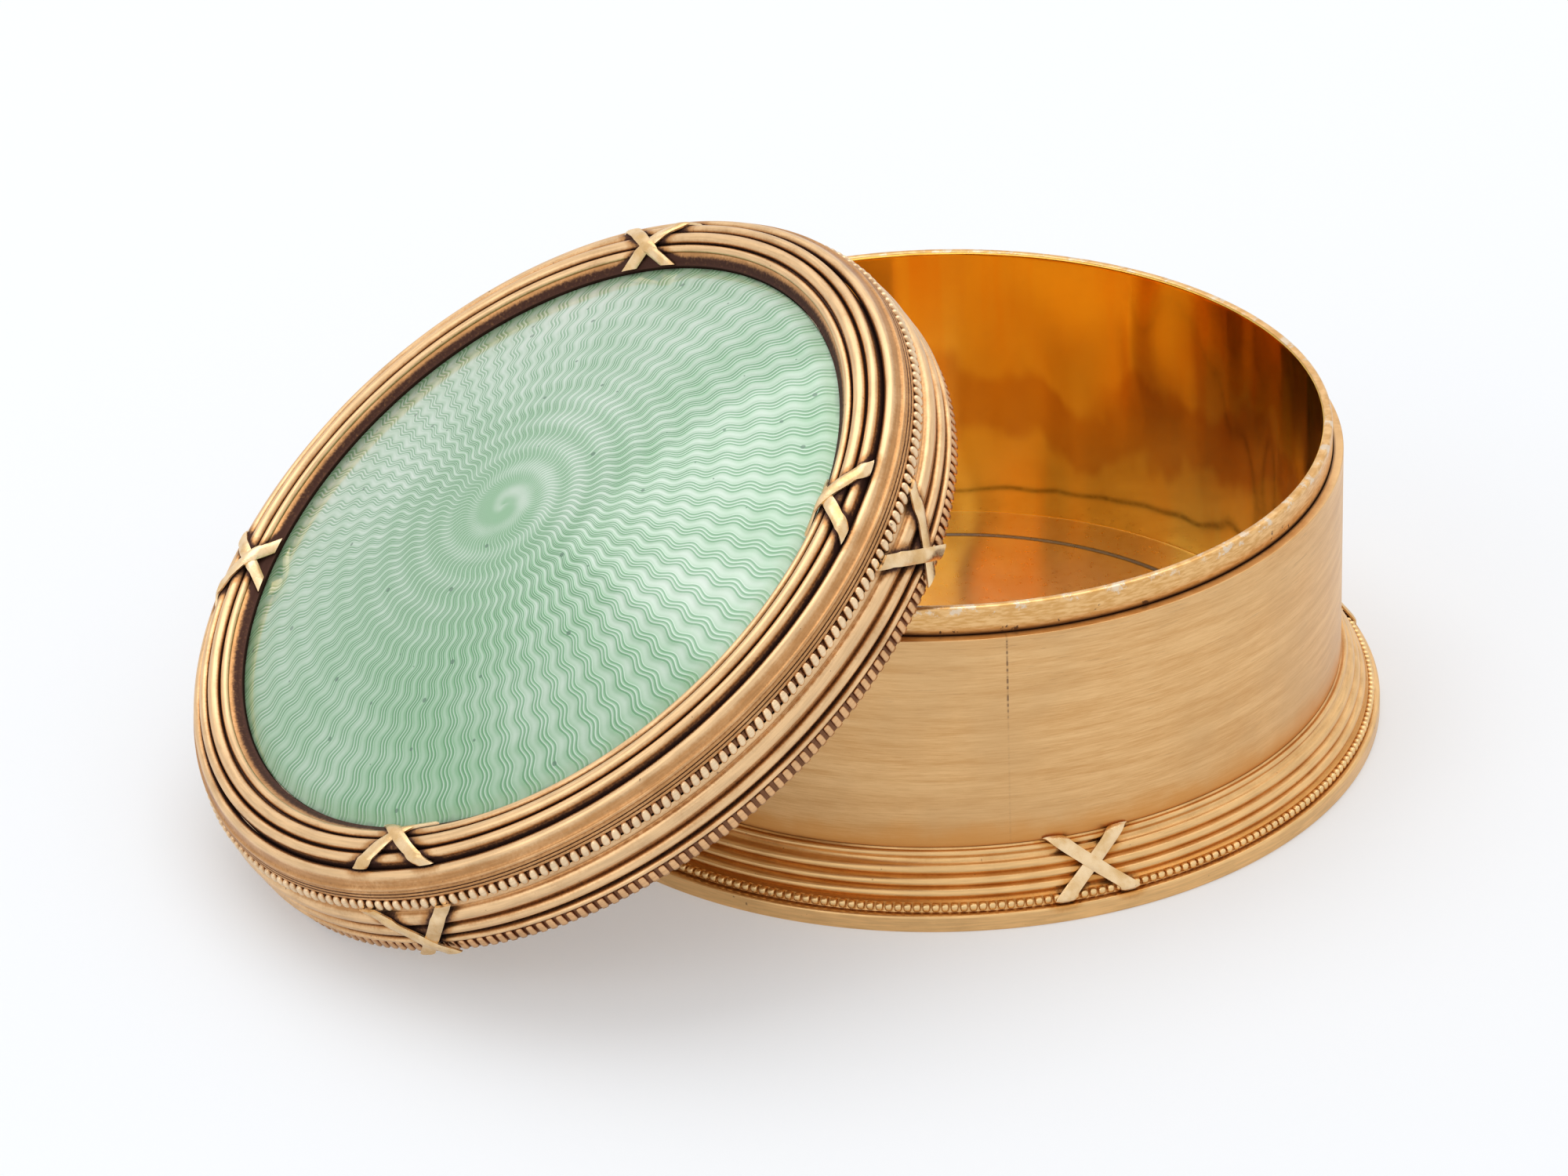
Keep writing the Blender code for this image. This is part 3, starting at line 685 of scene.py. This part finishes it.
def drop_loose(mesh):
    """Removes the copies of a profile's end that all lie on the axis."""
    work = bmesh.new()
    work.from_mesh(mesh)
    loose = [vertex for vertex in work.verts if not vertex.link_faces]
    bmesh.ops.delete(work, geom=loose, context="VERTS")
    work.to_mesh(mesh)
    work.free()


def darken_near(mesh, ties):
    """Lowers the openness close to the ties, for painted shade, with some soiling, along their edges."""
    values = mesh.attributes["open"].data
    for index, vertex in enumerate(mesh.vertices):
        found = ties.find_nearest(vertex.co, TIE_SHADE_AND_DIRT_REACH)
        if found[0] is not None:
            values[index].value *= 0.25 + 0.75 * found[3] / TIE_SHADE_AND_DIRT_REACH


# ---------------------------------------------------------------- ribbons


def smooth_path(points, per_span=7):
    """A curve through the points, as (point, direction) pairs."""
    p = [Vector(point) for point in points]
    p = [p[0] * 2 - p[1]] + p + [p[-1] * 2 - p[-2]]
    path = []
    for i in range(1, len(p) - 2):
        a, b, c, d = p[i - 1 : i + 3]
        second = 2 * a - 5 * b + 4 * c - d
        third = 3 * b - a - 3 * c + d
        for step in range(per_span + (i == len(p) - 3)):
            t = step / per_span
            spot = 0.5 * ((2 * b) + (c - a) * t + second * t**2 + third * t**3)
            slope = 0.5 * ((c - a) + 2 * second * t + 3 * third * t**2)
            path.append((spot, slope.normalized()))
    return path


def ribbon_section():
    """A ribbon's section from edge to edge over its crown and back, as (across, depth) pairs."""
    steps = [-0.5 + step / RIBBON_SECTION for step in range(RIBBON_SECTION + 1)]
    crown = [(across, RIBBON_THICKNESS * (1 - (2 * across) ** 4 * 0.45)) for across in steps]
    return crown + [(0.5, 0.0), (-0.5, 0.0)]


def ribbon_mesh(work, path, middle, crossing, lean, spread, width, lift, hump):
    """One slanting band over a moulding, with rounded edges. It humps over the other where they cross."""
    layer = work.verts.layers.float["open"]
    rings = []
    lengths = [0.0]
    for (one, _), (two, _) in zip(path, path[1:]):
        lengths.append(lengths[-1] + (two - one).length)
    for length, (spot, slope) in zip(lengths, path):
        share = length / lengths[-1]
        normal = Vector((slope.y, -slope.x))
        shift = lean * spread * (share - crossing)
        over = math.exp(-(((share - crossing) / 0.16) ** 2)) * hump
        ring = []
        for across, depth in ribbon_section():
            away = lift + over + depth
            radius = spot.x + normal.x * away
            angle = middle + (shift + across * width) / spot.x
            corner = (radius * math.cos(angle), radius * math.sin(angle), spot.y + normal.y * away)
            vertex = work.verts.new(corner)
            # The two corners that lie on the moulding are less open, which paints shade along the ribbon's
            # edges
            vertex[layer] = 0.3 if depth == 0.0 else 1.0
            ring.append(vertex)
        rings.append(ring)
    for one, two in zip(rings, rings[1:]):
        for a in range(len(one)):
            b = (a + 1) % len(one)
            work.faces.new((one[a], one[b], two[b], two[a]))
    work.faces.new(rings[0])
    work.faces.new(rings[-1])


def tie_meshes(label, points, first, crossing, spread, width):
    """The crossed ties of one row, each as a mesh, along a path up the piece or inwards over its top."""
    path = smooth_path(points)
    under, over = RIBBON_LIFTS
    meshes = []
    for number in range(TIES):
        work = bmesh.new()
        work.verts.layers.float.new("open")
        angle = first + math.tau * number / TIES
        ribbon_mesh(work, path, angle, crossing, 1, spread, width, under, 0.0)
        ribbon_mesh(work, path, angle, crossing, -1, spread, width, over, RIBBON_HUMP)
        bmesh.ops.recalc_face_normals(work, faces=work.faces[:])
        mesh = bpy.data.meshes.new(f"{label}_{number + 1}")
        work.to_mesh(mesh)
        work.free()
        meshes.append(mesh)
    return meshes


def nearness(mesh_groups):
    """A search tree over all of the ties' surfaces."""
    points = []
    faces = []
    for mesh in mesh_groups:
        base = len(points)
        points += [vertex.co.copy() for vertex in mesh.vertices]
        faces += [tuple(base + index for index in polygon.vertices) for polygon in mesh.polygons]
    return BVHTree.FromPolygons(points, faces)


def on_circle(centre_radius, centre_height, size, angle):
    turn = math.radians(angle)
    return centre_radius + size * math.cos(turn), centre_height + size * math.sin(turn)


# ---------------------------------------------------------------- bead rows


def bead_shape(squareness):
    """The corners and faces of one bead of half size 1: round at squareness 0, and boxier above it."""
    template = bmesh.new()
    bmesh.ops.create_cube(template, size=2.0)
    bmesh.ops.subdivide_edges(template, edges=template.edges[:], cuts=3, use_grid_fill=True)
    power = 2.0 + squareness
    corners = []
    for vertex in template.verts:
        d = vertex.co.normalized()
        corners.append(d * (abs(d.x) ** power + abs(d.y) ** power + abs(d.z) ** power) ** (-1 / power))
    faces = [[vertex.index for vertex in face.verts] for face in template.faces]
    template.free()
    return corners, faces


def bead_row(name, count, ring, height, sizes, squareness, material, body, node, skew=0.0, base_openness=0.72):
    """A row of beads as one mesh. Sizes are half lengths outwards, round the ring and up."""
    corners, faces = bead_shape(squareness)
    wobble = np.random.default_rng(count)
    points = []
    polygons = []
    values = []
    for number in range(count):
        angle = math.tau * number / count
        out = Vector((math.cos(angle), math.sin(angle), 0.0))
        side = Vector((-math.sin(angle), math.cos(angle), 0.0))
        grow = 1 + wobble.uniform(-0.04, 0.04, 3)
        base = len(points)
        for corner in corners:
            x, y, z = corner.x * grow[0], corner.y * grow[1], corner.z * grow[2]
            spot = out * (ring + x * sizes[0]) + side * (y * sizes[1] + skew * z * sizes[2])
            spot.z = height + z * sizes[2]
            points.append(spot)
            # Painted shade: each bead is less open on the sides where it meets its neighbours, and more
            # open on its outer face
            clear = base_openness + 0.4 * corner.x - 0.3 * corner.y**2 - 0.08 * corner.z
            values.append(min(1.0, max(0.0, clear)))
        polygons += [[base + index for index in face] for face in faces]
    mesh = bpy.data.meshes.new(name)
    mesh.from_pydata(points, [], polygons)
    point_values(mesh, "open", values)
    point_values(mesh, "along", [point.z / MM for point in points])
    return finish_piece(mesh, name, material, body, node, sharp=60.0)


# ---------------------------------------------------------------- box

foot_gold = satin_gold("foot_gold", (0.80, 0.50, 0.22), (0.64, 0.30, 0.08), shade_and_grime_level=0.42, shade_and_grime_colour=BROWN)
bead_gold = satin_gold("bead_gold", (0.88, 0.66, 0.42), (0.60, 0.34, 0.16), shade_and_grime_level=0.5, brushing=0.1)
foot_bead_gold = satin_gold(
    "foot_bead_gold", (0.88, 0.60, 0.29), (0.74, 0.42, 0.15), shade_and_grime_level=0.3, brushing=0.1, shade_and_grime_colour=BROWN
)
dentil_gold = satin_gold("dentil_gold", (0.74, 0.44, 0.22), (0.45, 0.21, 0.10), shade_and_grime_level=0.62, brushing=0.1)
tie_gold = ribbon_gold()


def foot_profile():
    edge = foot.outer
    points = [(foot.inner, foot.low)]
    points += arc(edge - 0.1 * MM, 0.1 * MM, 0.1 * MM, -90, 0, 5)
    points += arc(edge - 0.14 * MM, FLANGE_HEIGHT - 0.14 * MM, 0.14 * MM, 0, 90, 6)
    trough = FOOT_BEAD_RING - FOOT_BEAD_SIZE * 0.55
    points.append((FOOT_BEAD_RING + FOOT_BEAD_SIZE * 0.9, FLANGE_HEIGHT))
    points.append((FOOT_BEAD_RING, FLANGE_HEIGHT - 0.03 * MM))
    points += [(trough, FLANGE_HEIGHT + 0.1 * MM), (trough - 0.03 * MM, foot_wire.high + 0.03 * MM)]
    for inside, up, size in FOOT_REEDS:
        points += arc(edge - inside, FLANGE_HEIGHT + up, size, -50, 88, 10)
    inside, up, size = FOOT_FILLET
    low = (edge - FOOT_REEDS[-1][0] - 0.12 * MM, FLANGE_HEIGHT + FOOT_REEDS[-1][1] + 0.36 * MM)
    points += [low, (low[0] - 0.07 * MM, low[1] + 0.12 * MM)]
    points += arc(edge - inside, FLANGE_HEIGHT + up, size, -60, 70, 8)
    points.append((wall.outer + 0.07 * MM, foot.high - 0.04 * MM))
    points.append((wall.outer + 0.012 * MM, foot.high + 0.04 * MM))
    return points + [(foot.inner, foot.high + 0.04 * MM)]


def wall_profile():
    r = 0.06 * MM
    points = [(wall.inner, wall.low), (wall.outer, wall.low)]
    points += arc(wall.outer - r, wall.high - r, r, 0, 90, 5)
    return points + [(wall.inner, wall.high)]


def liner_profile():
    r = 0.17 * MM
    points = [(liner.inner, plate.low), (liner.outer, plate.low)]
    points += arc(liner.outer - r, liner.high - r, r, 0, 90, 6)
    points += arc(liner.inner + r, liner.high - r, r, 90, 180, 6)
    return points


def floor_profile():
    top = plate.high
    edge = plate.outer
    points = [(0.0, plate.low), (edge, plate.low), (edge, top + COVE * 0.9)]
    points += arc(edge - COVE, top + COVE, COVE, -8, -90, 12)
    g = 0.12 * MM
    points += [(RING_GROOVE + g, top), (RING_GROOVE + g * 0.4, top - g * 0.8)]
    points += [(RING_GROOVE - g * 0.4, top - g * 0.8), (RING_GROOVE - g, top)]
    return points + [(0.0, top)]


def foot_tie_points():
    edge = foot.outer
    reeds = [(edge - inside, FLANGE_HEIGHT + up, size) for inside, up, size in FOOT_REEDS]
    points = [(wall.outer + 0.03 * MM, foot.high + 0.05 * MM)]
    points.append(on_circle(edge - FOOT_FILLET[0], FLANGE_HEIGHT + FOOT_FILLET[1], FOOT_FILLET[2], 30))
    points += [on_circle(*reed, 38) for reed in reversed(reeds)]
    points.append(on_circle(FOOT_BEAD_RING, foot_wire.middle, FOOT_BEAD_SIZE, 30))
    points.append(on_circle(FOOT_BEAD_RING, foot_wire.middle, FOOT_BEAD_SIZE, -5))
    return points[::-1]


# Where each piece gets painted shade and soiling: the middle of the place, how far the darkening reaches
# and how strong it is
FOOT_SHADE_AND_GRIME = [((FOOT_BEAD_RING - 0.2 * MM, FLANGE_HEIGHT + 0.45 * MM), 0.3 * MM, 0.5)]
box_pieces = [
    Turned("floor_of_box", floor_profile(), dull_gilt("floor_gilt", plate.high * 0.6), "box", "base_plate"),
    Turned("liner", liner_profile(), rim_gold(), "box", "liner_and_rim"),
    Turned("outer_wall", wall_profile(), wall_gold(), "box", "body_wall", step=0.3 * MM),
    Turned(
        "foot_rings", foot_profile(), foot_gold, "box", "foot_moulding", FINE_TURNS, 0.08 * MM, FOOT_SHADE_AND_GRIME
    ),
]
foot_ties = tie_meshes(
    "foot_ribbons", foot_tie_points(), FOOT_TIE_ANGLE, crossing=0.5, spread=3.4 * MM, width=FOOT_RIBBON
)
foot_nearness = nearness(foot_ties)
for piece in box_pieces:
    piece.build(box_pieces, foot_nearness if piece.turns == FINE_TURNS else None)
for number, mesh in enumerate(foot_ties, 1):
    finish_piece(mesh, mesh.name, tie_gold, "box", f"foot_tie_{number}")
bead_row(
    "foot_beads", FOOT_BEADS, FOOT_BEAD_RING, foot_wire.middle,
    (FOOT_BEAD_SIZE * 1.05, FOOT_BEAD_SIZE * 1.08, FOOT_BEAD_SIZE * 1.15),
    1.2, foot_bead_gold, "box", "foot_bead_wire", base_openness=0.95,
)

# ---------------------------------------------------------------- lid


def top_ring_profile():
    inner, outer = top_ring.inner, top_ring.outer
    points = [(inner, top_ring.low), (outer, top_ring.low), (outer, ENAMEL_EDGE + 0.05 * MM)]
    for out, up, size in reversed(TOP_REEDS):
        points += arc(enamel.outer + out, ENAMEL_EDGE + up, size, -12, 192, 14)
    points.append((inner + 0.28 * MM, ENAMEL_EDGE + 0.36 * MM))
    points += [(inner + 0.12 * MM, ENAMEL_EDGE + 0.2 * MM), (inner, ENAMEL_EDGE + 0.14 * MM)]
    return points


def shoulder_profile():
    inner, outer, low = shoulder.inner, shoulder.outer, shoulder.low
    back = skirt.outer + 0.05 * MM
    points = [(inner, low + 0.5 * MM), (back, low + 0.5 * MM), (back, low)]
    # Three narrow fillets, then a small bead, the hollow and the torus
    for step in range(3):
        centre = outer + (0.1 - 0.05 * step) * MM
        points += arc(centre, low + (0.08 + 0.17 * step) * MM, 0.04 * MM, -80, 80, 6, up=0.08 * MM)
    points += arc(outer - 0.07 * MM, low + 0.62 * MM, 0.1 * MM, -60, 100, 6)
    inwards, height, size = TORUS
    points += [(outer - 0.17 * MM, low + 0.79 * MM), (outer - 0.24 * MM, low + 0.93 * MM)]
    points += arc(inner + inwards, low + height, size, 8, 176, 16)
    return points + [(inner, low + height - 0.1 * MM)]


def side_band_profile():
    points = [(band.inner, band.high), (band.inner, band.low)]
    for height, half in SIDE_REEDS:
        points += arc(BAND_CORE, height, band.outer - BAND_CORE, -84, 84, 12, up=half)
    top = sum(SIDE_REEDS[-1])
    points += [(BAND_CORE, top + 0.05 * MM), (BAND_CORE + 0.06 * MM, top + 0.12 * MM)]
    return points + [(BAND_CORE + 0.06 * MM, band.high)]


def strip_profile(extent, outer):
    """A plain ring from the inside of a node's extent to the given radius."""
    inner, low, high = extent.inner, extent.low, extent.high
    return [(inner, low), (outer, low), (outer, high), (inner, high)]


def skirt_profile():
    r = 0.08 * MM
    points = arc(skirt.inner + r, skirt.low + r, r, 180, 270, 4)
    points += arc(skirt.outer - r, skirt.low + r, r, 270, 360, 4)
    return points + [(skirt.outer, skirt.high), (skirt.inner, skirt.high)]


def lining_profile():
    return [(0.0, lining.low), (lining.outer, lining.low), (lining.outer, lining.high), (0.0, lining.high)]


def dome_profile():
    edge = enamel.outer
    sphere = (edge**2 + DOME_HEIGHT**2) / (2 * DOME_HEIGHT)
    radii = [edge * step / DOME_STEPS for step in range(DOME_STEPS + 1)]
    rise = [math.sqrt(sphere**2 - r**2) - sphere + DOME_HEIGHT for r in radii]
    under = [(r, enamel.low + h) for r, h in zip(radii, rise)]
    over = [(r, ENAMEL_EDGE + h) for r, h in zip(radii, rise)]
    return under + over[::-1]


def top_tie_points():
    reeds = [(enamel.outer + out, ENAMEL_EDGE + up, size) for out, up, size in TOP_REEDS]
    points = [(top_ring.inner + 0.1 * MM, ENAMEL_EDGE + 0.17 * MM)]
    points += [on_circle(*reeds[0], 160), on_circle(*reeds[0], 90)]
    points += [on_circle(*reeds[1], 120), on_circle(*reeds[1], 60)]
    points += [on_circle(*reeds[2], 100), on_circle(*reeds[2], 40)]
    points.append((top_ring.outer + 0.06 * MM, ENAMEL_EDGE + 0.27 * MM))
    return points[::-1]


def side_tie_points():
    crest = band.outer
    points = [(crest, 0.25 * MM)]
    points += [(crest, height) for height, _ in SIDE_REEDS]
    points.append((crest - 0.12 * MM, sum(SIDE_REEDS[-1])))
    points.append((lid_wire.outer - 0.03 * MM, lid_wire.middle - 0.12 * MM))
    return points


lid_gold = satin_gold("lid_gold")
shoulder_gold = satin_gold("shoulder_gold", shade_and_grime_level=0.55)
# Dark gold for the channels behind the bead rows: painted shade between the beads, with patina
brown_gold = satin_gold("recessed_gold", (0.2, 0.09, 0.045), (0.14, 0.06, 0.03), shade_and_grime_level=0.75)
# Painted shade on the bevel down to the enamel, and in the groove outside the outer reed
TOP_SHADE_AND_GRIME = [
    ((top_ring.inner + 0.15 * MM, ENAMEL_EDGE + 0.2 * MM), 0.6 * MM, 0.6),
    ((top_ring.outer, ENAMEL_EDGE + 0.3 * MM), 0.35 * MM, 0.35),
]
# Painted shade and soiling on the fillets, and painted shade on the torus's lower flank and in the groove
# inside it
SHOULDER_SHADE_AND_GRIME = [
    ((shoulder.outer, shoulder.low + 0.3 * MM), 0.55 * MM, 0.42),
    ((shoulder.outer - 0.22 * MM, shoulder.low + 0.86 * MM), 0.38 * MM, 0.42),
    ((shoulder.inner, shoulder.low + 1.1 * MM), 0.32 * MM, 0.6),
]
low_wire_back = strip_profile(low_wire, low_wire.outer - 0.14 * MM)
lid_wire_back = strip_profile(lid_wire, lid_wire.inner + 0.2 * MM)
ceiling_gilt = dull_gilt("ceiling_gilt", lining.high)
lid_pieces = [
    Turned(
        "top_reeding", top_ring_profile(), lid_gold, "lid", "lid_top_ring", FINE_TURNS, 0.08 * MM, TOP_SHADE_AND_GRIME
    ),
    Turned(
        "shoulder_torus", shoulder_profile(), shoulder_gold, "lid", "lid_shoulder_moulding",
        FINE_TURNS, 0.07 * MM, SHOULDER_SHADE_AND_GRIME,
    ),
    Turned("side_reeding", side_band_profile(), lid_gold, "lid", "lid_side_band", FINE_TURNS, 0.1 * MM),
    Turned("lid_skirt_wall", skirt_profile(), lid_gold, "lid", "lid_skirt", step=0.3 * MM),
    Turned("lid_ceiling", lining_profile(), ceiling_gilt, "lid", "lid_lining", step=0.6 * MM),
    Turned("enamel_dome", dome_profile(), green_enamel(), "lid", "enamel_disc", step=1.0 * MM),
    Turned("square_bead_back", low_wire_back, brown_gold, "lid", "lid_lower_wire", FINE_TURNS),
    Turned("lid_bead_channel", lid_wire_back, brown_gold, "lid", "lid_bead_wire", FINE_TURNS),
]
top_ties = tie_meshes(
    "lid_top_ribbons", top_tie_points(), LID_TIE_ANGLE, crossing=0.62, spread=3.3 * MM, width=LID_RIBBON
)
side_ties = tie_meshes(
    "lid_side_ribbons", side_tie_points(), LID_TIE_ANGLE, crossing=0.26, spread=3.2 * MM, width=LID_RIBBON
)
lid_nearness = nearness(top_ties + side_ties)
for piece in lid_pieces:
    piece.build(lid_pieces, lid_nearness if piece.turns == FINE_TURNS else None)
for label, meshes in (("lid_top_tie", top_ties), ("lid_side_tie", side_ties)):
    for number, mesh in enumerate(meshes, 1):
        finish_piece(mesh, mesh.name, tie_gold, "lid", f"{label}_{number}")
bead_row(
    "lid_beads", LID_BEADS, LID_BEAD_RING, lid_wire.middle - 0.02 * MM,
    (LID_BEAD_SIZE * 1.06, 0.232 * MM, 0.36 * MM),
    0.4, bead_gold, "lid", "lid_bead_wire", skew=0.16,
)
bead_row(
    "square_beads", LID_BEADS, low_wire.outer - 0.17 * MM, low_wire.middle,
    (0.19 * MM, 0.185 * MM, (low_wire.high - low_wire.low) / 2),
    4.0, dentil_gold, "lid", "lid_lower_wire",
)
plate_node = NODES["guilloche_plate"]
plate_node.data.materials.clear()
plate_node.data.materials.append(engraved_silver())

# ---------------------------------------------------------------- floor, light and camera

FLOOR_RADIUS = 3.0
FLOOR_GLOW = 0.28  # the share of the floor's look that is plain white
WORLD_LIGHT = 0.7  # the strength of the white world as a light, where it isn't seen itself
WHITE = (1.0, 1.0, 1.0, 1.0)
OVERHEAD = (-0.1, 0.3, 0.9)
FRONT_LEFT = (-0.6, -0.55, 0.5)


def seen_itself(tree):
    """One for rays from the camera, straight or by way of a mirror or glass, and nought for the rest."""
    rays = tree.nodes.new("ShaderNodeLightPath")
    seen = rays.outputs["Is Camera Ray"]
    for kind in ("Is Glossy Ray", "Is Transmission Ray"):
        either = tree.nodes.new("ShaderNodeMath")
        either.operation = "MAXIMUM"
        tree.links.new(seen, either.inputs[0])
        tree.links.new(rays.outputs[kind], either.inputs[1])
        seen = either.outputs[0]
    return seen


def make_floor():
    work = bmesh.new()
    bmesh.ops.create_circle(work, cap_ends=True, segments=96, radius=FLOOR_RADIUS)
    mesh = bpy.data.meshes.new("studio_floor")
    work.to_mesh(mesh)
    work.free()
    s = Shader("white_floor", Base_Color=(0.93, 0.96, 1.0, 1.0), Roughness=0.9)
    glow = s.node("ShaderNodeEmission")
    glow.inputs["Color"].default_value = WHITE
    glow.inputs["Strength"].default_value = 1.0
    blend = s.node("ShaderNodeMixShader")
    s.put(blend.inputs[0], s.times(seen_itself(s.tree), FLOOR_GLOW))
    s.put(blend.inputs[1], s.surface.outputs[0])
    s.put(blend.inputs[2], glow.outputs[0])
    s.put(s.tree.nodes["Material Output"].inputs["Surface"], blend.outputs[0])
    mesh.materials.append(s.material)
    floor = bpy.data.objects.new("studio_floor", mesh)
    bpy.context.scene.collection.objects.link(floor)


def make_world():
    world = bpy.data.worlds.new("white_studio")
    bpy.context.scene.world = world
    world.use_nodes = True
    tree = world.node_tree
    tree.nodes.clear()
    blend = tree.nodes.new("ShaderNodeMixShader")
    tree.links.new(seen_itself(tree), blend.inputs[0])
    for socket, strength in ((1, WORLD_LIGHT), (2, 1.0)):
        white = tree.nodes.new("ShaderNodeBackground")
        white.inputs["Color"].default_value = WHITE
        white.inputs["Strength"].default_value = strength
        tree.links.new(white.outputs[0], blend.inputs[socket])
    output = tree.nodes.new("ShaderNodeOutputWorld")
    tree.links.new(blend.outputs[0], output.inputs[0])


def softbox(name, position, size, power):
    """A rectangular lamp that faces the middle of the box."""
    data = bpy.data.lights.new(name, "AREA")
    data.shape = "RECTANGLE"
    data.size, data.size_y = size
    data.energy = power
    lamp = bpy.data.objects.new(name, data)
    bpy.context.scene.collection.objects.link(lamp)
    lamp.location = position
    lamp.rotation_euler = (-Vector(position)).to_track_quat("-Z", "Y").to_euler()


CAMERA_DISTANCE = 0.29987  # from the box's centre on the floor
CAMERA_ELEVATION = math.radians(29.99)
CAMERA_PAN = -0.0274  # the camera turns a little off the box, towards the lid
CAMERA_TILT = -0.0203
CAMERA_ROLL = 0.0242
CAMERA_LENS = 132.33


def make_camera():
    data = bpy.data.cameras.new("camera")
    data.sensor_width = 36.0
    data.lens = CAMERA_LENS
    data.clip_start = 0.01
    data.clip_end = 20.0
    camera = bpy.data.objects.new("camera", data)
    bpy.context.scene.collection.objects.link(camera)
    bpy.context.scene.camera = camera
    away = Vector((0.0, -math.cos(CAMERA_ELEVATION), math.sin(CAMERA_ELEVATION)))
    right = Vector((1.0, 0.0, 0.0))
    up = away.cross(right)
    level = Matrix((right, up, away)).transposed()
    aim = Matrix.Rotation(-CAMERA_PAN, 3, "Y") @ Matrix.Rotation(-CAMERA_TILT, 3, "X")
    aim = aim @ Matrix.Rotation(-CAMERA_ROLL, 3, "Z")
    camera.matrix_world = Matrix.LocRotScale(away * CAMERA_DISTANCE, (level @ aim).to_quaternion(), None)


make_floor()
make_world()
softbox("overhead", OVERHEAD, size=(1.1, 0.8), power=3.6)
softbox("front_left", FRONT_LEFT, size=(0.5, 0.6), power=0.9)
make_camera()
bpy.context.scene.view_settings.view_transform = "Standard"
